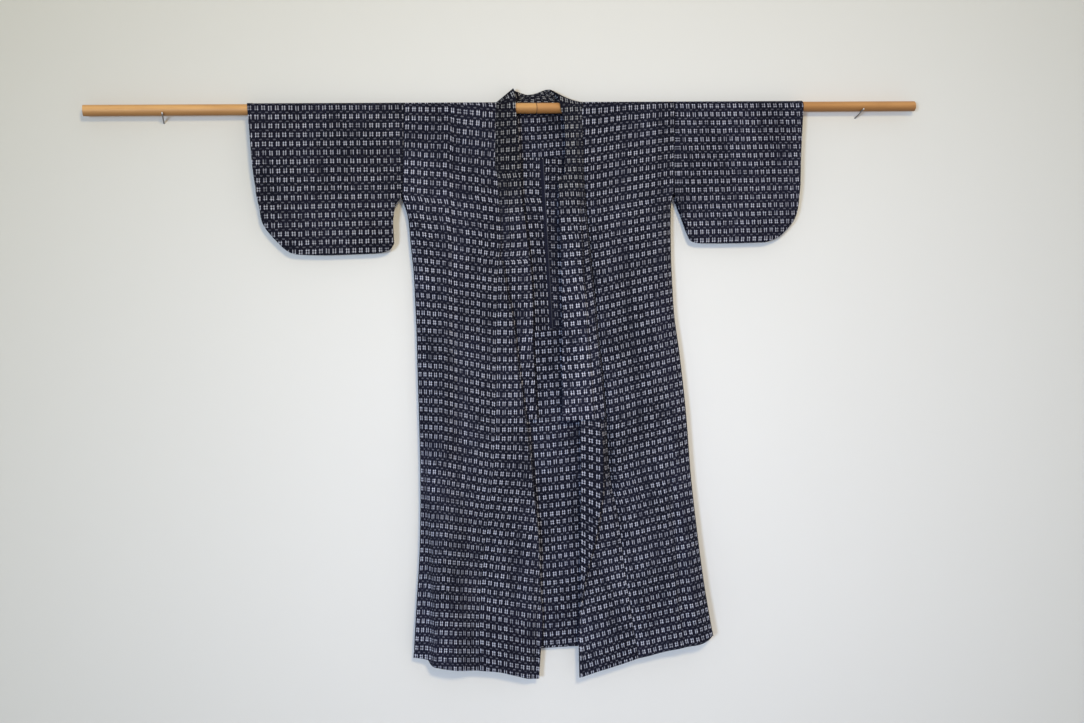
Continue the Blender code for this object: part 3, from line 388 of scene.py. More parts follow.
# Soft folds and creases of the hanging cloth: a line from its top to its foot, its half width, and how
# far it stands towards the viewer at its middle, or lies back where negative
FOLDS = table(
    "face x_top z_top x_low z_low half_width rise",
    ("front", -0.150, -0.03, -0.178, -0.72, 0.020, 0.0012),
    ("front", -0.168, -0.30, -0.190, -1.10, 0.014, -0.0012),
    ("front", -0.128, -0.36, -0.100, -0.90, 0.012, -0.0010),
    ("front", -0.255, -0.06, -0.276, -0.52, 0.016, -0.0010),
    ("front", -0.282, -0.20, -0.262, -0.42, 0.010, 0.0009),
    ("front", -0.236, -0.85, -0.232, -1.30, 0.012, 0.0012),
    ("front", -0.135, -0.66, -0.150, -1.36, 0.016, 0.0016),
    ("front", -0.105, -0.92, -0.112, -1.36, 0.012, -0.0014),
    ("front", 0.135, -0.05, 0.150, -0.62, 0.016, 0.0012),
    ("front", 0.176, -0.10, 0.196, -0.86, 0.018, -0.0014),
    ("front", 0.228, -0.16, 0.222, -0.74, 0.014, 0.0010),
    ("front", 0.262, -0.30, 0.300, -1.00, 0.013, -0.0010),
    ("front", 0.180, -0.74, 0.192, -1.34, 0.014, 0.0014),
    ("front", 0.092, -0.98, 0.082, -1.38, 0.016, 0.0016),
    ("front", 0.115, -1.02, 0.128, -1.36, 0.011, -0.0012),
    ("back", -0.200, -0.10, -0.225, -1.32, 0.045, 0.0030),
    ("back", -0.085, -0.45, -0.080, -1.34, 0.040, -0.0022),
    ("back", 0.085, -0.14, 0.105, -1.32, 0.045, 0.0026),
    ("back", 0.215, -0.30, 0.235, -1.34, 0.040, -0.0024),
    ("back", -0.262, -0.12, -0.285, -0.86, 0.016, -0.0014),
    ("back", -0.150, -0.18, -0.158, -1.02, 0.014, -0.0012),
    ("back", -0.040, -0.10, -0.034, -0.62, 0.012, 0.0010),
    ("back", 0.042, -0.34, 0.050, -1.30, 0.012, -0.0011),
    ("back", 0.150, -0.08, 0.168, -0.74, 0.013, 0.0012),
    ("back", 0.182, -0.66, 0.196, -1.34, 0.018, 0.0014),
    ("back", 0.268, -0.22, 0.292, -1.10, 0.014, 0.0012),
    ("sleeve", -0.395, -0.05, -0.379, -0.34, 0.010, -0.0014),
    ("sleeve", -0.455, -0.02, -0.447, -0.34, 0.012, 0.0012),
    ("sleeve", -0.520, -0.03, -0.535, -0.33, 0.020, 0.0018),
    ("sleeve", -0.598, -0.06, -0.590, -0.30, 0.011, -0.0012),
    ("sleeve", 0.372, -0.06, 0.380, -0.33, 0.011, 0.0012),
    ("sleeve", 0.430, -0.05, 0.415, -0.34, 0.018, 0.0018),
    ("sleeve", 0.492, -0.02, 0.500, -0.34, 0.010, -0.0013),
    ("sleeve", 0.550, -0.03, 0.560, -0.33, 0.018, -0.0014),
)
FOLD_FADE = 0.10

# How steeply the rows of marks climb across each front, in degrees: the left front outside its crest,
# across the crest and inside it, then the overlap; the right front, then its overlap
LEFT_CLIMB = table(
    "z outer crest inner overlap",
    (0.000, -0.4, -10, -5.3, -5),
    (-0.080, -3.3, -24, -7.5, -5),
    (-0.155, -6.0, -14, -9.0, -5),
    (-0.235, -7.6, -16, -9.7, -5),
    (-0.295, -8.7, -15, -10.3, -5),
    (-0.390, -9.2, -20, -10.4, -4),
    (-0.530, -6.5, -18, -13.0, -3),
    (-0.625, -6.0, -20, -14.5, -3),
    (-0.720, -5.5, -16, -15.0, -3.3),
    (-0.795, -5.2, -14, -15.0, -7.5),
    (-0.900, -5.0, -12, -14.5, -10),
    (-1.210, -5.0, -9, -11.3, -15),
)
RIGHT_CLIMB = table(
    "z panel overlap flap",
    (0.000, 3.2, 4.0, -8),
    (-0.050, 5.8, 6.0, -8),
    (-0.090, 7.2, 7.0, -8),
    (-0.170, 8.0, 8.0, -8),
    (-0.370, 9.6, 9.0, -8),
    (-0.450, 10.9, 9.0, -8),
    (-0.700, 10.8, 8.5, -12),
    (-0.820, 10.5, 8.4, -14),
    (-0.880, 10.0, 8.4, -18),
    (-0.930, 9.6, 8.4, -26),
    (-1.030, 9.2, 8.4, -30),
    (-1.260, 8.2, 12.2, -30),
)
FRONT_COLUMNS = {"left": 15.0, "right": 14.6}
OVERLAP_COLUMN = 0.0136
FLAP_COLUMN = 0.0168
FLAP_START = 9.22
COLLAR_COLUMN = 0.0150
CREST_HALF = 0.006

# Pieces sewn inside the back, by the levels where they start and end
SHOULDER_LINING = (0.0085, 0.090)
SEAT_LINING = (0.410, 0.996)
SEAM_ALLOWANCE = (0.0925, 0.4075)
SEAM_ALLOWANCE_WIDTH = 0.0085
SEAM_ALLOWANCE_LEAN = 0.0080


def smooth(places, values, at):
    """The value at a place between a table's rows, by a curve that never overshoots them."""
    if places[0] > places[-1]:
        places = [-place for place in places]
        at = -at
    if at <= places[0]:
        return values[0]
    if at >= places[-1]:
        return values[-1]
    k = bisect.bisect_right(places, at) - 1

    def slope(n):
        return (values[n + 1] - values[n]) / (places[n + 1] - places[n])

    def tangent(n):
        if n == 0:
            return slope(0)
        if n == len(places) - 1:
            return slope(n - 1)
        before = slope(n - 1)
        after = slope(n)
        return 0.0 if before * after <= 0 else 2 * before * after / (before + after)

    step = places[k + 1] - places[k]
    t = (at - places[k]) / step
    return (
        values[k] * (1 + 2 * t) * (1 - t) ** 2
        + values[k + 1] * t * t * (3 - 2 * t)
        + tangent(k) * step * t * (1 - t) ** 2
        - tangent(k + 1) * step * t * t * (1 - t)
    )


def shares(count):
    return [k / count for k in range(count + 1)]


def ease(t):
    """0 below 0, 1 above 1, and a soft step between."""
    t = min(max(t, 0.0), 1.0)
    return t * t * (3 - 2 * t)


def mix(a, b, t):
    return a + (b - a) * t


def signed(side, length):
    """A length away from the middle, on the left or the right."""
    return -length if side == "left" else length


class Heights:
    """Tables by height, read once for each height of a grid and kept."""

    def __init__(self):
        self.kept = {}

    def read(self, rows, name, z):
        key = (id(rows), name, z)
        if key not in self.kept:
            self.kept[key] = smooth(rows["z"], rows[name], z)
        return self.kept[key]


HEIGHTS = Heights()


def by_height(rows, name, z):
    return HEIGHTS.read(rows, name, round(z, 5))


def side_edge(side, z):
    """The body's outer edge at a height."""
    if z > -ARMHOLE:
        return mix(SLEEVE_SEAM_TOP[side], SIDE[side][0], -z / ARMHOLE)
    return by_height(SIDE, side, z)


def folds(face, x, z):
    """How far the soft folds of a face stand towards the viewer."""
    total = 0.0
    for k, of_face in enumerate(FOLDS["face"]):
        top = FOLDS["z_top"][k]
        low = FOLDS["z_low"][k]
        if of_face != face or not low < z < top:
            continue
        middle = mix(FOLDS["x_top"][k], FOLDS["x_low"][k], (z - top) / (low - top))
        away = (x - middle) / FOLDS["half_width"][k]
        if abs(away) > 3:
            continue
        fade = ease((top - z) / FOLD_FADE) * ease((z - low) / FOLD_FADE + 0.4)
        total += FOLDS["rise"][k] * math.exp(-away * away) * fade
    return total


RIPPLE = 0.0007
RIPPLE_ACROSS = 26.0
RIPPLE_DOWN = 7.0


def ripple(x, z, seed):
    """The slight unevenness of washed cotton, longer down the cloth than across it."""
    place = Vector((x * RIPPLE_ACROSS, seed, z * RIPPLE_DOWN))
    return RIPPLE * (noise.noise(place) + 0.5 * noise.noise(place * 2.7))


def closing(z):
    """0 where the armhole is open, 1 where the side seam joins front and back."""
    return ease((-z - ARMHOLE) / 0.04)


SEAM_SINK = 0.0007
SEAM_SINK_HALF = 0.0050


def sink(distance, deep=SEAM_SINK, half=SEAM_SINK_HALF):
    """How far the cloth draws in towards a seam beside it."""
    away = distance / half
    return deep * math.exp(-away * away)


EDGE_ROLL = 0.025
EDGE_ROLL_DEPTH = 0.011


def front_depth(side, x, z):
    """The depth of the front's own surface, which runs on under the collar and over the overlap."""
    face = LEFT_FACE if side == "left" else RIGHT_FACE
    lines = ("foot", "top", "crest", "valley") if side == "left" else ("ridge", "valley", "lip", "rise")
    edge = side_edge(side, z)
    seam = by_height(FRONT_SEAM, side, z)
    seam_y = by_height(face, "seam_y", z)
    first = by_height(face, lines[0], z)
    edge_y = mix(by_height(face, lines[0] + "_y", z), by_height(SIDE, side + "_y", z) - SEAM_GAP, closing(z))
    places = [edge, *[by_height(face, line, z) for line in lines], seam]
    depths = [edge_y, *[by_height(face, line + "_y", z) for line in lines], seam_y]
    # Near the side the lines keep their order where the edge comes in to meet them
    places[1] = min(max(first, edge + 0.004), first) if side == "left" else min(first, edge - 0.004)
    if side == "right":
        places.reverse()
        depths.reverse()
    depth = smooth(places, depths, x)
    depth += sink(x - seam, by_height(SEAM_GROOVE, side, z), by_height(SEAM_GROOVE, side + "_half", z))
    if z < -1.0:
        fold = LEFT_FOLD if side == "left" else RIGHT_FOLD
        free = by_height(fold, "x", z)
        rolled = ease((-z - 1.0) / 0.15)
        if side == "left":
            depth += rolled * EDGE_ROLL_DEPTH * ease((x - free + EDGE_ROLL) / EDGE_ROLL)
    return depth - folds("front", x, z) + ripple(x, z, 1.0 if side == "left" else 5.0)


BACK_TURN = {"left": 0.030, "right": 0.060}


def back_depth(side, x, z):
    """The depth of the back's own surface."""
    face = HANG - folds("back", x, z) + ripple(x, z, 9.0) * ease(-z / 0.05)
    edge = side_edge(side, z)
    share = min(abs(x - edge) / BACK_TURN[side], 1.0)
    round_turn = math.sqrt(1 - (1 - share) ** 2)
    return mix(face, by_height(SIDE, side + "_y", z) + SEAM_GAP, (1 - round_turn) * closing(z))


def over_rod(x, degrees, out=HANG):
    """A point of the cloth over the rod: 0 is its front, 90 its top and 180 its back."""
    turn = math.radians(degrees)
    return Vector((x, -out * math.cos(turn), out * math.sin(turn)))


def neck_edge(side, degrees):
    """Where the collar's seam crosses the rod, by its angle over it."""
    rows = [
        (turn, x)
        for turn, z, x in zip(NECK["seam_turn"], NECK["seam_z"], NECK["seam_x"])
        if z is None and (x < 0) == (side == "left")
    ]
    rows = sorted([*rows, (0, FRONT_SEAM[side][0])])
    return smooth([row[0] for row in rows], [row[1] for row in rows], degrees)


def hem_height(side, x):
    hem = LEFT_HEM if side == "left" else RIGHT_HEM
    return smooth(hem["x"], hem["z"], x)


def hem_place(side, share):
    """The place across of a front panel's column where it meets the hem."""
    inner = FRONT_SEAM[side][-1]
    outer = SIDE[side][-1]
    return mix(inner, outer, share)


def body_point(side, share, row):
    """A point of a body's cloth, from its inner edge, 0, to its outer edge, 1."""
    face, level = row
    half_gap = signed(side, SEAM_GAP / 2)
    if face == "over":
        inner = neck_edge(side, level) + half_gap
        outer = SLEEVE_SEAM_TOP[side] - half_gap
        return over_rod(mix(inner, outer, share), level)
    if face == "front":
        z = level * hem_height(side, hem_place(side, share))
        inner = by_height(FRONT_SEAM, side, z) + half_gap
    else:
        z = level * smooth(BACK_HEM["x"], BACK_HEM["z"], mix(BACK_SEAM_X, SIDE[side][-1], share))
        inner = BACK_SEAM_X + half_gap
        if level < NECK_DROP / 1.23:
            inner = signed(side, NECK_HALF) + half_gap
    outer = side_edge(side, z)
    if z > -ARMHOLE - 0.02:
        outer -= half_gap
    x = mix(inner, outer, share)
    if face == "front":
        depth = mix(-HANG, front_depth(side, x, z), ease(-z / 0.03))
    else:
        depth = back_depth(side, x, z)
    return Vector((x, depth, z))


def overlap_point(side, column, level):
    """A point of an overlap: its panel from the seam to the fold, the turn, and the flap beyond."""
    part, share = column
    fold = LEFT_FOLD if side == "left" else RIGHT_FOLD
    seam_low = FRONT_SEAM[side][-1]
    edge_low = fold["x"][-1]
    seam_hem = hem_height(side, seam_low)
    edge_hem = hem_height(side, edge_low)
    hem = hem_height(side, mix(seam_low, edge_low, share)) if part == "panel" else edge_hem
    z = level * hem
    fold_x = by_height(fold, "x", level * edge_hem)
    flap = by_height(fold, "flap", level * edge_hem)
    turn = math.pi * by_height(fold, "turn", level * edge_hem)
    seam_x = by_height(FRONT_SEAM, side, level * seam_hem) - signed(side, SEAM_GAP / 2)
    roll = by_height(fold, "roll", level * edge_hem)
    if part == "panel":
        x = mix(seam_x, fold_x, share)
        inside = min(abs(x - fold_x) / roll, 1.0) if roll else 1.0
        rolled = roll * (1 - math.sqrt(1 - (1 - inside) ** 2))
        return Vector((x, front_depth(side, x, z) + rolled, z))
    inward = -signed(side, 1.0)
    towards = 1.0 if side == "left" else -1.0
    radius = LAYER / 2
    begun = min(turn, math.pi / 2) if roll else 0.0
    angle = mix(begun, turn, share if part == "turn" else 1.0)
    beyond = flap * share if part == "flap" else 0.0
    x = fold_x + inward * (radius * (math.sin(angle) - math.sin(begun)) + beyond * math.cos(turn))
    lift = roll + radius * (math.cos(begun) - math.cos(angle)) + beyond * math.sin(turn)
    if part == "flap":
        lift += by_height(fold, "stand", level * edge_hem) * share**1.4
        lift -= roll * ease(beyond / 0.02) * 0.8
    return Vector((x, front_depth(side, x, z) + towards * lift, z))


def collar_front_point(side, share, level):
    """A point of the collar down a front, from its sewn edge, 0, to its free edge, 1."""
    edges = LEFT_COLLAR if side == "left" else RIGHT_COLLAR
    depths = LEFT_COLLAR_DEPTH if side == "left" else RIGHT_COLLAR_DEPTH
    z = level * hem_height(side, FRONT_SEAM[side][-1])
    seam = by_height(edges, "seam", z)
    if z > -0.345:
        seam = by_height(FRONT_SEAM, side, z)
    seam -= signed(side, SEAM_GAP)
    x = mix(seam, by_height(edges, "free", z), share)
    away = abs(x - seam)
    width = abs(by_height(edges, "free", z) - seam)
    seam_y, low_y, ridge_y, free_y = [by_height(depths, name, z) for name in ("seam", "low", "ridge", "free")]
    strip = min(by_height(depths, "strip", z), 0.8 * width)
    places = [0.0, min(0.008, 0.5 * strip), strip, strip + COLLAR_STEP, width]
    across = smooth(places, [seam_y, low_y, low_y, ridge_y, free_y], away)
    surface = mix(-HANG, front_depth(side, x, z), ease(-z / 0.03))
    return Vector((x, surface + across, z))


NECK_PATH = list(range(len(NECK["seam_x"])))
NECK_SAG = 0.0030


def collar_neck_point(share, place):
    """A point of the collar where it passes over the rod and round behind the neck."""
    x = smooth(NECK_PATH, NECK["seam_x"], place)
    degrees = smooth(NECK_PATH, NECK["seam_turn"], place)
    seam = over_rod(x, degrees)
    drops = [NECK_DROP_AT(k) for k in NECK_PATH]
    drop = smooth(NECK_PATH, drops, place)
    if drop:
        seam = Vector((x, HANG, -drop + 2 * SEAM_GAP))
    free = Vector([smooth(NECK_PATH, NECK[name], place) for name in ("free_x", "free_y", "free_z")])
    point = seam.lerp(free, share)
    point.z -= NECK_SAG * ease(x / NECK_HALF) * 4 * share * (1 - share)
    return point


def NECK_DROP_AT(k):
    return -(NECK["seam_z"][k] or 0.0)


def collar_sections():
    """The collar's sections, from its left end round the neck to its right end."""
    levels = [COLLAR_END * k / 122 for k in range(123)]
    neck = [k / 4 for k in range(4 * (len(NECK_PATH) - 1) + 1)]
    sections = [("left", level) for level in reversed(levels)]
    sections += [("neck", place) for place in neck]
    sections += [("right", level) for level in levels]
    return sections


def collar_point(share, section):
    place, value = section
    if place == "neck":
        return collar_neck_point(share, value)
    return collar_front_point(place, share, value)


SLEEVE_TILT = math.radians(1.3)


def sleeve_point(side, share, row):
    """A point of a sleeve, from the armhole, 0, to the cuff, 1, on one of its rows round the tube."""
    face, level = row
    inner = SLEEVE_INNER[side]
    bottom = SLEEVE_BOTTOM[side]
    cuff = CUFF[side]
    top_inner_x = SLEEVE_SEAM_TOP[side] + signed(side, SEAM_GAP / 2)
    top_x = mix(top_inner_x, cuff["x"][0], share)
    if face == "over":
        return over_rod(top_x, level)
    low_x = smooth(bottom["share"], bottom["x"], share)
    low_z = smooth(bottom["share"], bottom["z"], share)
    inner_z = level * inner["z"][-1]
    inner_x = smooth(inner["z"], inner["x"], inner_z)
    if inner_z > -ARMHOLE:
        inner_x = side_edge(side, inner_z)
    inner_x += signed(side, SEAM_GAP / 2)
    cuff_z = level * cuff["z"][-1]
    cuff_x = smooth(cuff["z"], cuff["x"], cuff_z)
    # The sides and the ends are blended, less what the corners count twice
    low_inner_x = inner["x"][-1] + signed(side, SEAM_GAP / 2)
    corner_x = mix(top_x, mix(low_inner_x, cuff["x"][-1], share), level)
    x = mix(top_x, low_x, level) + mix(inner_x, cuff_x, share) - corner_x
    z = level * low_z
    half = HANG - 0.0065 * ease((-z - 0.13) / 0.18)
    half += folds("sleeve", x, z) * (1 if face == "front" else -0.6)
    half += ripple(x, z, 3.0 if face == "front" else 13.0) * ease(-z / 0.05)
    if level > 0.9:
        half *= math.sqrt(max(0.0, 1 - ((level - 0.9) / 0.1) ** 2))
    half -= sink((1 - share) * 0.0 + abs(x - inner_x)) * ease(-z / 0.02) * (1 if inner_z > -ARMHOLE else 0.3)
    return Vector((x, -half if face == "front" else half, z))


# The pattern's own coordinates on each piece: across in columns of marks and down in rows


def row_start(side):
    return 0.31 if side == "left" else 0.67


def climb_left(x, z):
    """How far the rows of the left front have sunk at a place across, from the side seam inwards."""
    edge = side_edge("left", z)
    crest = by_height(LEFT_FACE, "crest", z)
    seam = by_height(FRONT_SEAM, "left", z)
    slope = {name: math.tan(math.radians(by_height(LEFT_CLIMB, name, z))) for name in LEFT_CLIMB if name != "z"}
    rise = slope["outer"] * (min(x, crest - CREST_HALF) - edge)
    rise += slope["crest"] * min(max(x - crest + CREST_HALF, 0.0), 2 * CREST_HALF)
    rise += slope["inner"] * min(max(x - crest - CREST_HALF, 0.0), seam - crest - CREST_HALF)
    return rise + slope["overlap"] * max(x - seam, 0.0)


def climb_right(x, z):
    edge = side_edge("right", z)
    seam = by_height(FRONT_SEAM, "right", z)
    panel = math.tan(math.radians(by_height(RIGHT_CLIMB, "panel", z)))
    overlap = math.tan(math.radians(by_height(RIGHT_CLIMB, "overlap", z)))
    return -panel * (edge - max(x, seam)) - overlap * max(seam - x, 0.0)


def climb(side, x, z):
    return climb_left(x, z) if side == "left" else climb_right(x, z)


def run_across(points):
    """The length along a row of points to each of them."""
    lengths = [0.0]
    for a, b in zip(points, points[1:]):
        lengths.append(lengths[-1] + (b - a).length)
    return lengths


BACK_CLIMB = {"left": math.tan(math.radians(2.0)), "right": math.tan(math.radians(4.0))}


def body_chart(side, rows, points):
    """The pattern's coordinates over a body: columns from the outer edge, rows from the rod's front."""
    chart = []
    for row, line in zip(rows, points):
        face, level = row
        lengths = run_across(line)
        whole = lengths[-1]
        columns = whole / COLUMN
        if face == "front":
            columns = mix(whole / COLUMN, FRONT_COLUMNS[side], ease(level / 0.3))
        coordinates = []
        for point, length in zip(line, lengths):
            u = (whole - length) / whole * columns
            if face == "front":
                v = (-point.z + climb(side, point.x, point.z)) / ROW
            elif face == "over":
                v = (-HANG * math.radians(level) + climb(side, point.x, 0.0) * (1 - level / 180)) / ROW
            else:
                rise = BACK_CLIMB[side] * (point.x - BACK_SEAM_X) * ease(-point.z / 0.1)
                v = -(HANG * math.pi - point.z - rise) / ROW
            coordinates.append((u, v + row_start(side)))
        chart.append(coordinates)
    return chart


def overlap_chart(side, columns, points):
    """The pattern's coordinates over an overlap: columns from its seam, rows as on the front beside it."""
    start = 0.42 if side == "left" else 0.12
    first_turn = next(k for k, column in enumerate(columns) if column[0] == "turn")
    first_flap = next(k for k, column in enumerate(columns) if column[0] == "flap") - 1
    chart = []
    for line in points:
        lengths = run_across(line)
        fold = line[first_flap]
        coordinates = []
        for k, (point, length) in enumerate(zip(line, lengths)):
            across = length / OVERLAP_COLUMN + 0.15
            rise = climb(side, point.x, point.z)
            if side == "right" and k >= first_turn:
                slope = math.tan(math.radians(by_height(RIGHT_CLIMB, "flap", point.z)))
                rise = climb(side, fold.x, fold.z) + slope * (point.x - fold.x)
                across = (length - lengths[first_flap]) / FLAP_COLUMN + FLAP_START
            coordinates.append((across, (-point.z + rise) / ROW + start))
        chart.append(coordinates)
    return chart


# How steeply the rows of marks climb across the collar, and the spacing of its columns
COLLAR_CLIMB = table(
    "z left right strip",
    (0.000, 0.00, 0.07, 0.07),
    (-0.060, 0.07, 0.05, 0.05),
    (-0.200, 0.07, 0.00, 0.00),
    (-0.280, 0.07, 0.00, 0.25),
    (-0.340, 0.04, 0.04, 0.36),
    (-0.420, 0.00, 0.06, 0.34),
    (-0.500, -0.045, 0.05, 0.30),
    (-0.600, -0.045, 0.04, 0.25),
    (-0.700, -0.030, 0.03, 0.18),
)
COLLAR_COLUMNS = table("z left right", (0.0, 0.0135, 0.0122), (-0.18, 0.0135, 0.0124), (-0.32, 0.0142, 0.0146), (-0.70, 0.0142, 0.0148))


def collar_chart(sections, points):
    """Rows run across the collar and columns along it."""
    middle = [line[len(line) // 2] for line in points]
    along = run_across(middle)
    neck = next(k for k, section in enumerate(sections) if section[0] == "neck")
    chart = []
    for section, line, run, centre in zip(sections, points, along, middle):
        lengths = run_across(line)
        side = "left" if run < along[-1] / 2 else "right"
        low = section[0] != "neck"
        pitch = by_height(COLLAR_COLUMNS, side, min(line[0].z, 0.0) if low else 0.0)
        coordinates = []
        for point, length in zip(line, lengths):
            rise = 0.0
            if low:
                slope = by_height(COLLAR_CLIMB, side, point.z)
                rise = slope * (point.x - centre.x)
                if side == "right":
                    ridge = line[0].x - by_height(RIGHT_COLLAR_DEPTH, "strip", point.z)
                    extra = by_height(COLLAR_CLIMB, "strip", point.z) - slope
                    rise += extra * max(point.x - ridge, 0.0)
            down = -1 if side == "left" else 1
            coordinates.append((length / pitch + 0.35, (run - along[neck] + down * rise) / ROW))
        chart.append(coordinates)
    return chart


def sleeve_chart(side, rows, points):
    chart = []
    for row, line in zip(rows, points):
        face, level = row
        coordinates = []
        for point in line:
            out = abs(point.x - SLEEVE_SEAM_TOP[side])
            if face == "over":
                v = -HANG * math.radians(level) / ROW
            elif face == "front":
                v = -point.z / ROW
            else:
                v = -(HANG * math.pi - point.z) / ROW
            lean = math.tan(SLEEVE_TILT) * (-point.z)
            coordinates.append(((out - lean) / COLUMN + 0.4, v + 0.55))
        chart.append(coordinates)
    return chart


def lining_chart(points):
    chart = []
    for line in points:
        lengths = run_across(line)
        middle = min(range(len(line)), key=lambda k: abs(line[k].x - BACK_SEAM_X))
        coordinates = []
        for point, length in zip(line, lengths):
            u = (length - lengths[middle]) / COLUMN + (0.1 if point.x > BACK_SEAM_X else 0.0)
            climb_here = math.tan(math.radians(2.0 if point.x < BACK_SEAM_X else 4.0)) * ease((1.25 + point.z) / 0.2)
            v = (-point.z + climb_here * (point.x - BACK_SEAM_X)) / ROW
            coordinates.append((u, v + 0.23))
        chart.append(coordinates)
    return chart


def plain_chart(points):
    return [[(k * 0.8, -point.z / ROW) for k, point in enumerate(line)] for line in points]


# Making meshes


def new_object(name, mesh, finishes):
    made = bpy.data.objects.new(name, mesh)
    for finish in finishes:
        made.data.materials.append(finish)
    bpy.context.scene.collection.objects.link(made)
    return made


def cloth(name, across, along, place, chart, finishes, folded=None):
    """A grid laid onto the cloth's form, with the pattern's coordinates in its UV map, then thickened.

    Where it is folded in twice along an edge, from 0 to 1, it gets its full folded thickness."""
    points = [[place(column, row) for column in across] for row in along]
    pattern = chart(points)
    grid = bmesh.new()
    columns = len(across) - 1
    rows = len(along) - 1
    bmesh.ops.create_grid(grid, x_segments=columns, y_segments=rows, size=0.5)
    weave = grid.loops.layers.uv.new("weave")
    for face in grid.faces:
        for loop in face.loops:
            where = loop.vert.co
            loop[weave].uv = pattern[round((where.y + 0.5) * rows)][round((where.x + 0.5) * columns)]
    weights = grid.verts.layers.deform.verify()
    for vertex in grid.verts:
        row = round((vertex.co.y + 0.5) * rows)
        column = round((vertex.co.x + 0.5) * columns)
        if folded:
            vertex[weights][0] = folded(across[column], along[row], points[row][column])
        vertex.co = points[row][column]
    bmesh.ops.remove_doubles(grid, verts=grid.verts, dist=1e-6)
    bmesh.ops.recalc_face_normals(grid, faces=grid.faces)
    mesh = bpy.data.meshes.new(name)
    grid.to_mesh(mesh)
    grid.free()
    mesh.shade_smooth()
    made = new_object(name, mesh, finishes)
    wall = made.modifiers.new("Wall", "SOLIDIFY")
    wall.thickness = CLOTH
    wall.offset = 0.0
    wall.use_rim = True
    if folded:
        made.vertex_groups.new(name="Folded edge")
        wall.vertex_group = "Folded edge"
        wall.thickness = FOLDED
        wall.thickness_vertex_group = CLOTH / FOLDED
    return made


def spun(name, profile, steps, place, finish):
    """A shape turned about its own Z axis, moved to its place."""
    shape = bmesh.new()
    ring = [shape.verts.new((radius, 0.0, height)) for radius, height in profile]
    edges = [shape.edges.new(pair) for pair in zip(ring, ring[1:])]
    bmesh.ops.spin(
        shape,
        geom=[*ring, *edges],
        axis=(0, 0, 1),
        cent=(0, 0, 0),
        angle=2 * math.pi,
        steps=steps,
        use_merge=True,
    )
    bmesh.ops.remove_doubles(shape, verts=shape.verts, dist=1e-6)
    bmesh.ops.recalc_face_normals(shape, faces=shape.faces)
    bmesh.ops.transform(shape, matrix=place, verts=shape.verts)
    mesh = bpy.data.meshes.new(name)
    shape.to_mesh(mesh)
    shape.free()
    mesh.shade_smooth()
    mesh.set_sharp_from_angle(angle=math.radians(50))
    return new_object(name, mesh, [finish])


# Shader maths


class Value:
    """A number in a recipe's node tree: an expression on it adds its Math nodes."""

    def __init__(self, recipe, socket):
        self.recipe = recipe
        self.socket = socket

    def math(self, operation, *others):
        return self.recipe.node("ShaderNodeMath", {"operation": operation}, (self, *others))

    def __add__(self, other):
        return self.math("ADD", other)

    def __radd__(self, other):
        return self.math("ADD", other)

    def __sub__(self, other):
        return self.math("SUBTRACT", other)

    def __rsub__(self, other):
        return self.recipe.node("ShaderNodeMath", {"operation": "SUBTRACT"}, (other, self))

    def __mul__(self, other):
        return self.math("MULTIPLY", other)

    def __rmul__(self, other):
        return self.math("MULTIPLY", other)

    def __truediv__(self, other):
        return self.math("DIVIDE", other)

    def __gt__(self, other):
        return self.math("GREATER_THAN", other)

    def __lt__(self, other):
        return self.math("LESS_THAN", other)

    def floor(self):
        return self.math("FLOOR")

    def distance(self):
        return self.math("ABSOLUTE")

    def ramp(self, low, high, start=0.0, end=1.0):
        """A soft step from start to end as the number goes from low to high."""
        settings = {"interpolation_type": "SMOOTHSTEP"}
        return self.recipe.node("ShaderNodeMapRange", settings, (self, low, high, start, end))


class Recipe:
    """The nodes of one finish."""

    def __init__(self, name):
        self.material = bpy.data.materials.new(name)
        self.material.use_nodes = True
        self.tree = self.material.node_tree
        self.shader = self.tree.nodes["Principled BSDF"]

    def node(self, kind, settings=None, values=(), output=0):
        """A node with its settings, then the values or links of its sockets in order or by name."""
        made = self.tree.nodes.new(kind)
        for name, value in (settings or {}).items():
            if name == "stops":
                self.set_stops(made.color_ramp, value)
            else:
                setattr(made, name, value)
        named = values.items() if isinstance(values, dict) else enumerate(values)
        for key, value in named:
            self.put(made.inputs[key], value)
        return Value(self, made.outputs[output])

    def set_stops(self, ramp, stops):
        while len(ramp.elements) < len(stops):
            ramp.elements.new(0.5)
        for element, (position, colour) in zip(ramp.elements, stops):
            element.position = position
            element.color = (*colour, 1.0)

    def put(self, socket, value):
        if isinstance(value, Value):
            self.tree.links.new(value.socket, socket)
        elif value is not None:
            if socket.type == "RGBA" and len(value) == 3:
                value = (*value, 1.0)
            socket.default_value = value

    def blend(self, factor, a, b, blend_type="MIX"):
        """A colour between two colours."""
        settings = {"data_type": "RGBA", "blend_type": blend_type, "clamp_factor": True}
        return self.node("ShaderNodeMix", settings, {0: factor, 6: a, 7: b}, output=2)

    def join(self, x, y, z):
        return self.node("ShaderNodeCombineXYZ", None, (x, y, z))

    def parts(self, vector):
        made = self.node("ShaderNodeSeparateXYZ", None, (vector,))
        return [Value(self, socket) for socket in made.socket.node.outputs]

    def chance(self, x, y, z):
        """Three random numbers from 0 to 1 for each set of whole numbers."""
        made = self.node("ShaderNodeTexWhiteNoise", {"noise_dimensions": "3D"}, (self.join(x, y, z),), output=1)
        return self.parts(made)

    def clouds(self, vector, scale, detail=2.0, roughness=0.5):
        values = {"Vector": vector, "Scale": scale, "Detail": detail, "Roughness": roughness}
        return self.node("ShaderNodeTexNoise", {"noise_dimensions": "3D"}, values)

    def finish(self, colour, roughness, normal=None, **fixed):
        self.put(self.shader.inputs["Base Color"], colour)
        self.put(self.shader.inputs["Roughness"], roughness)
        self.put(self.shader.inputs["Normal"], normal)
        for name, value in fixed.items():
            self.put(self.shader.inputs[name.replace("_", " ")], value)
        return self.material


# The finishes

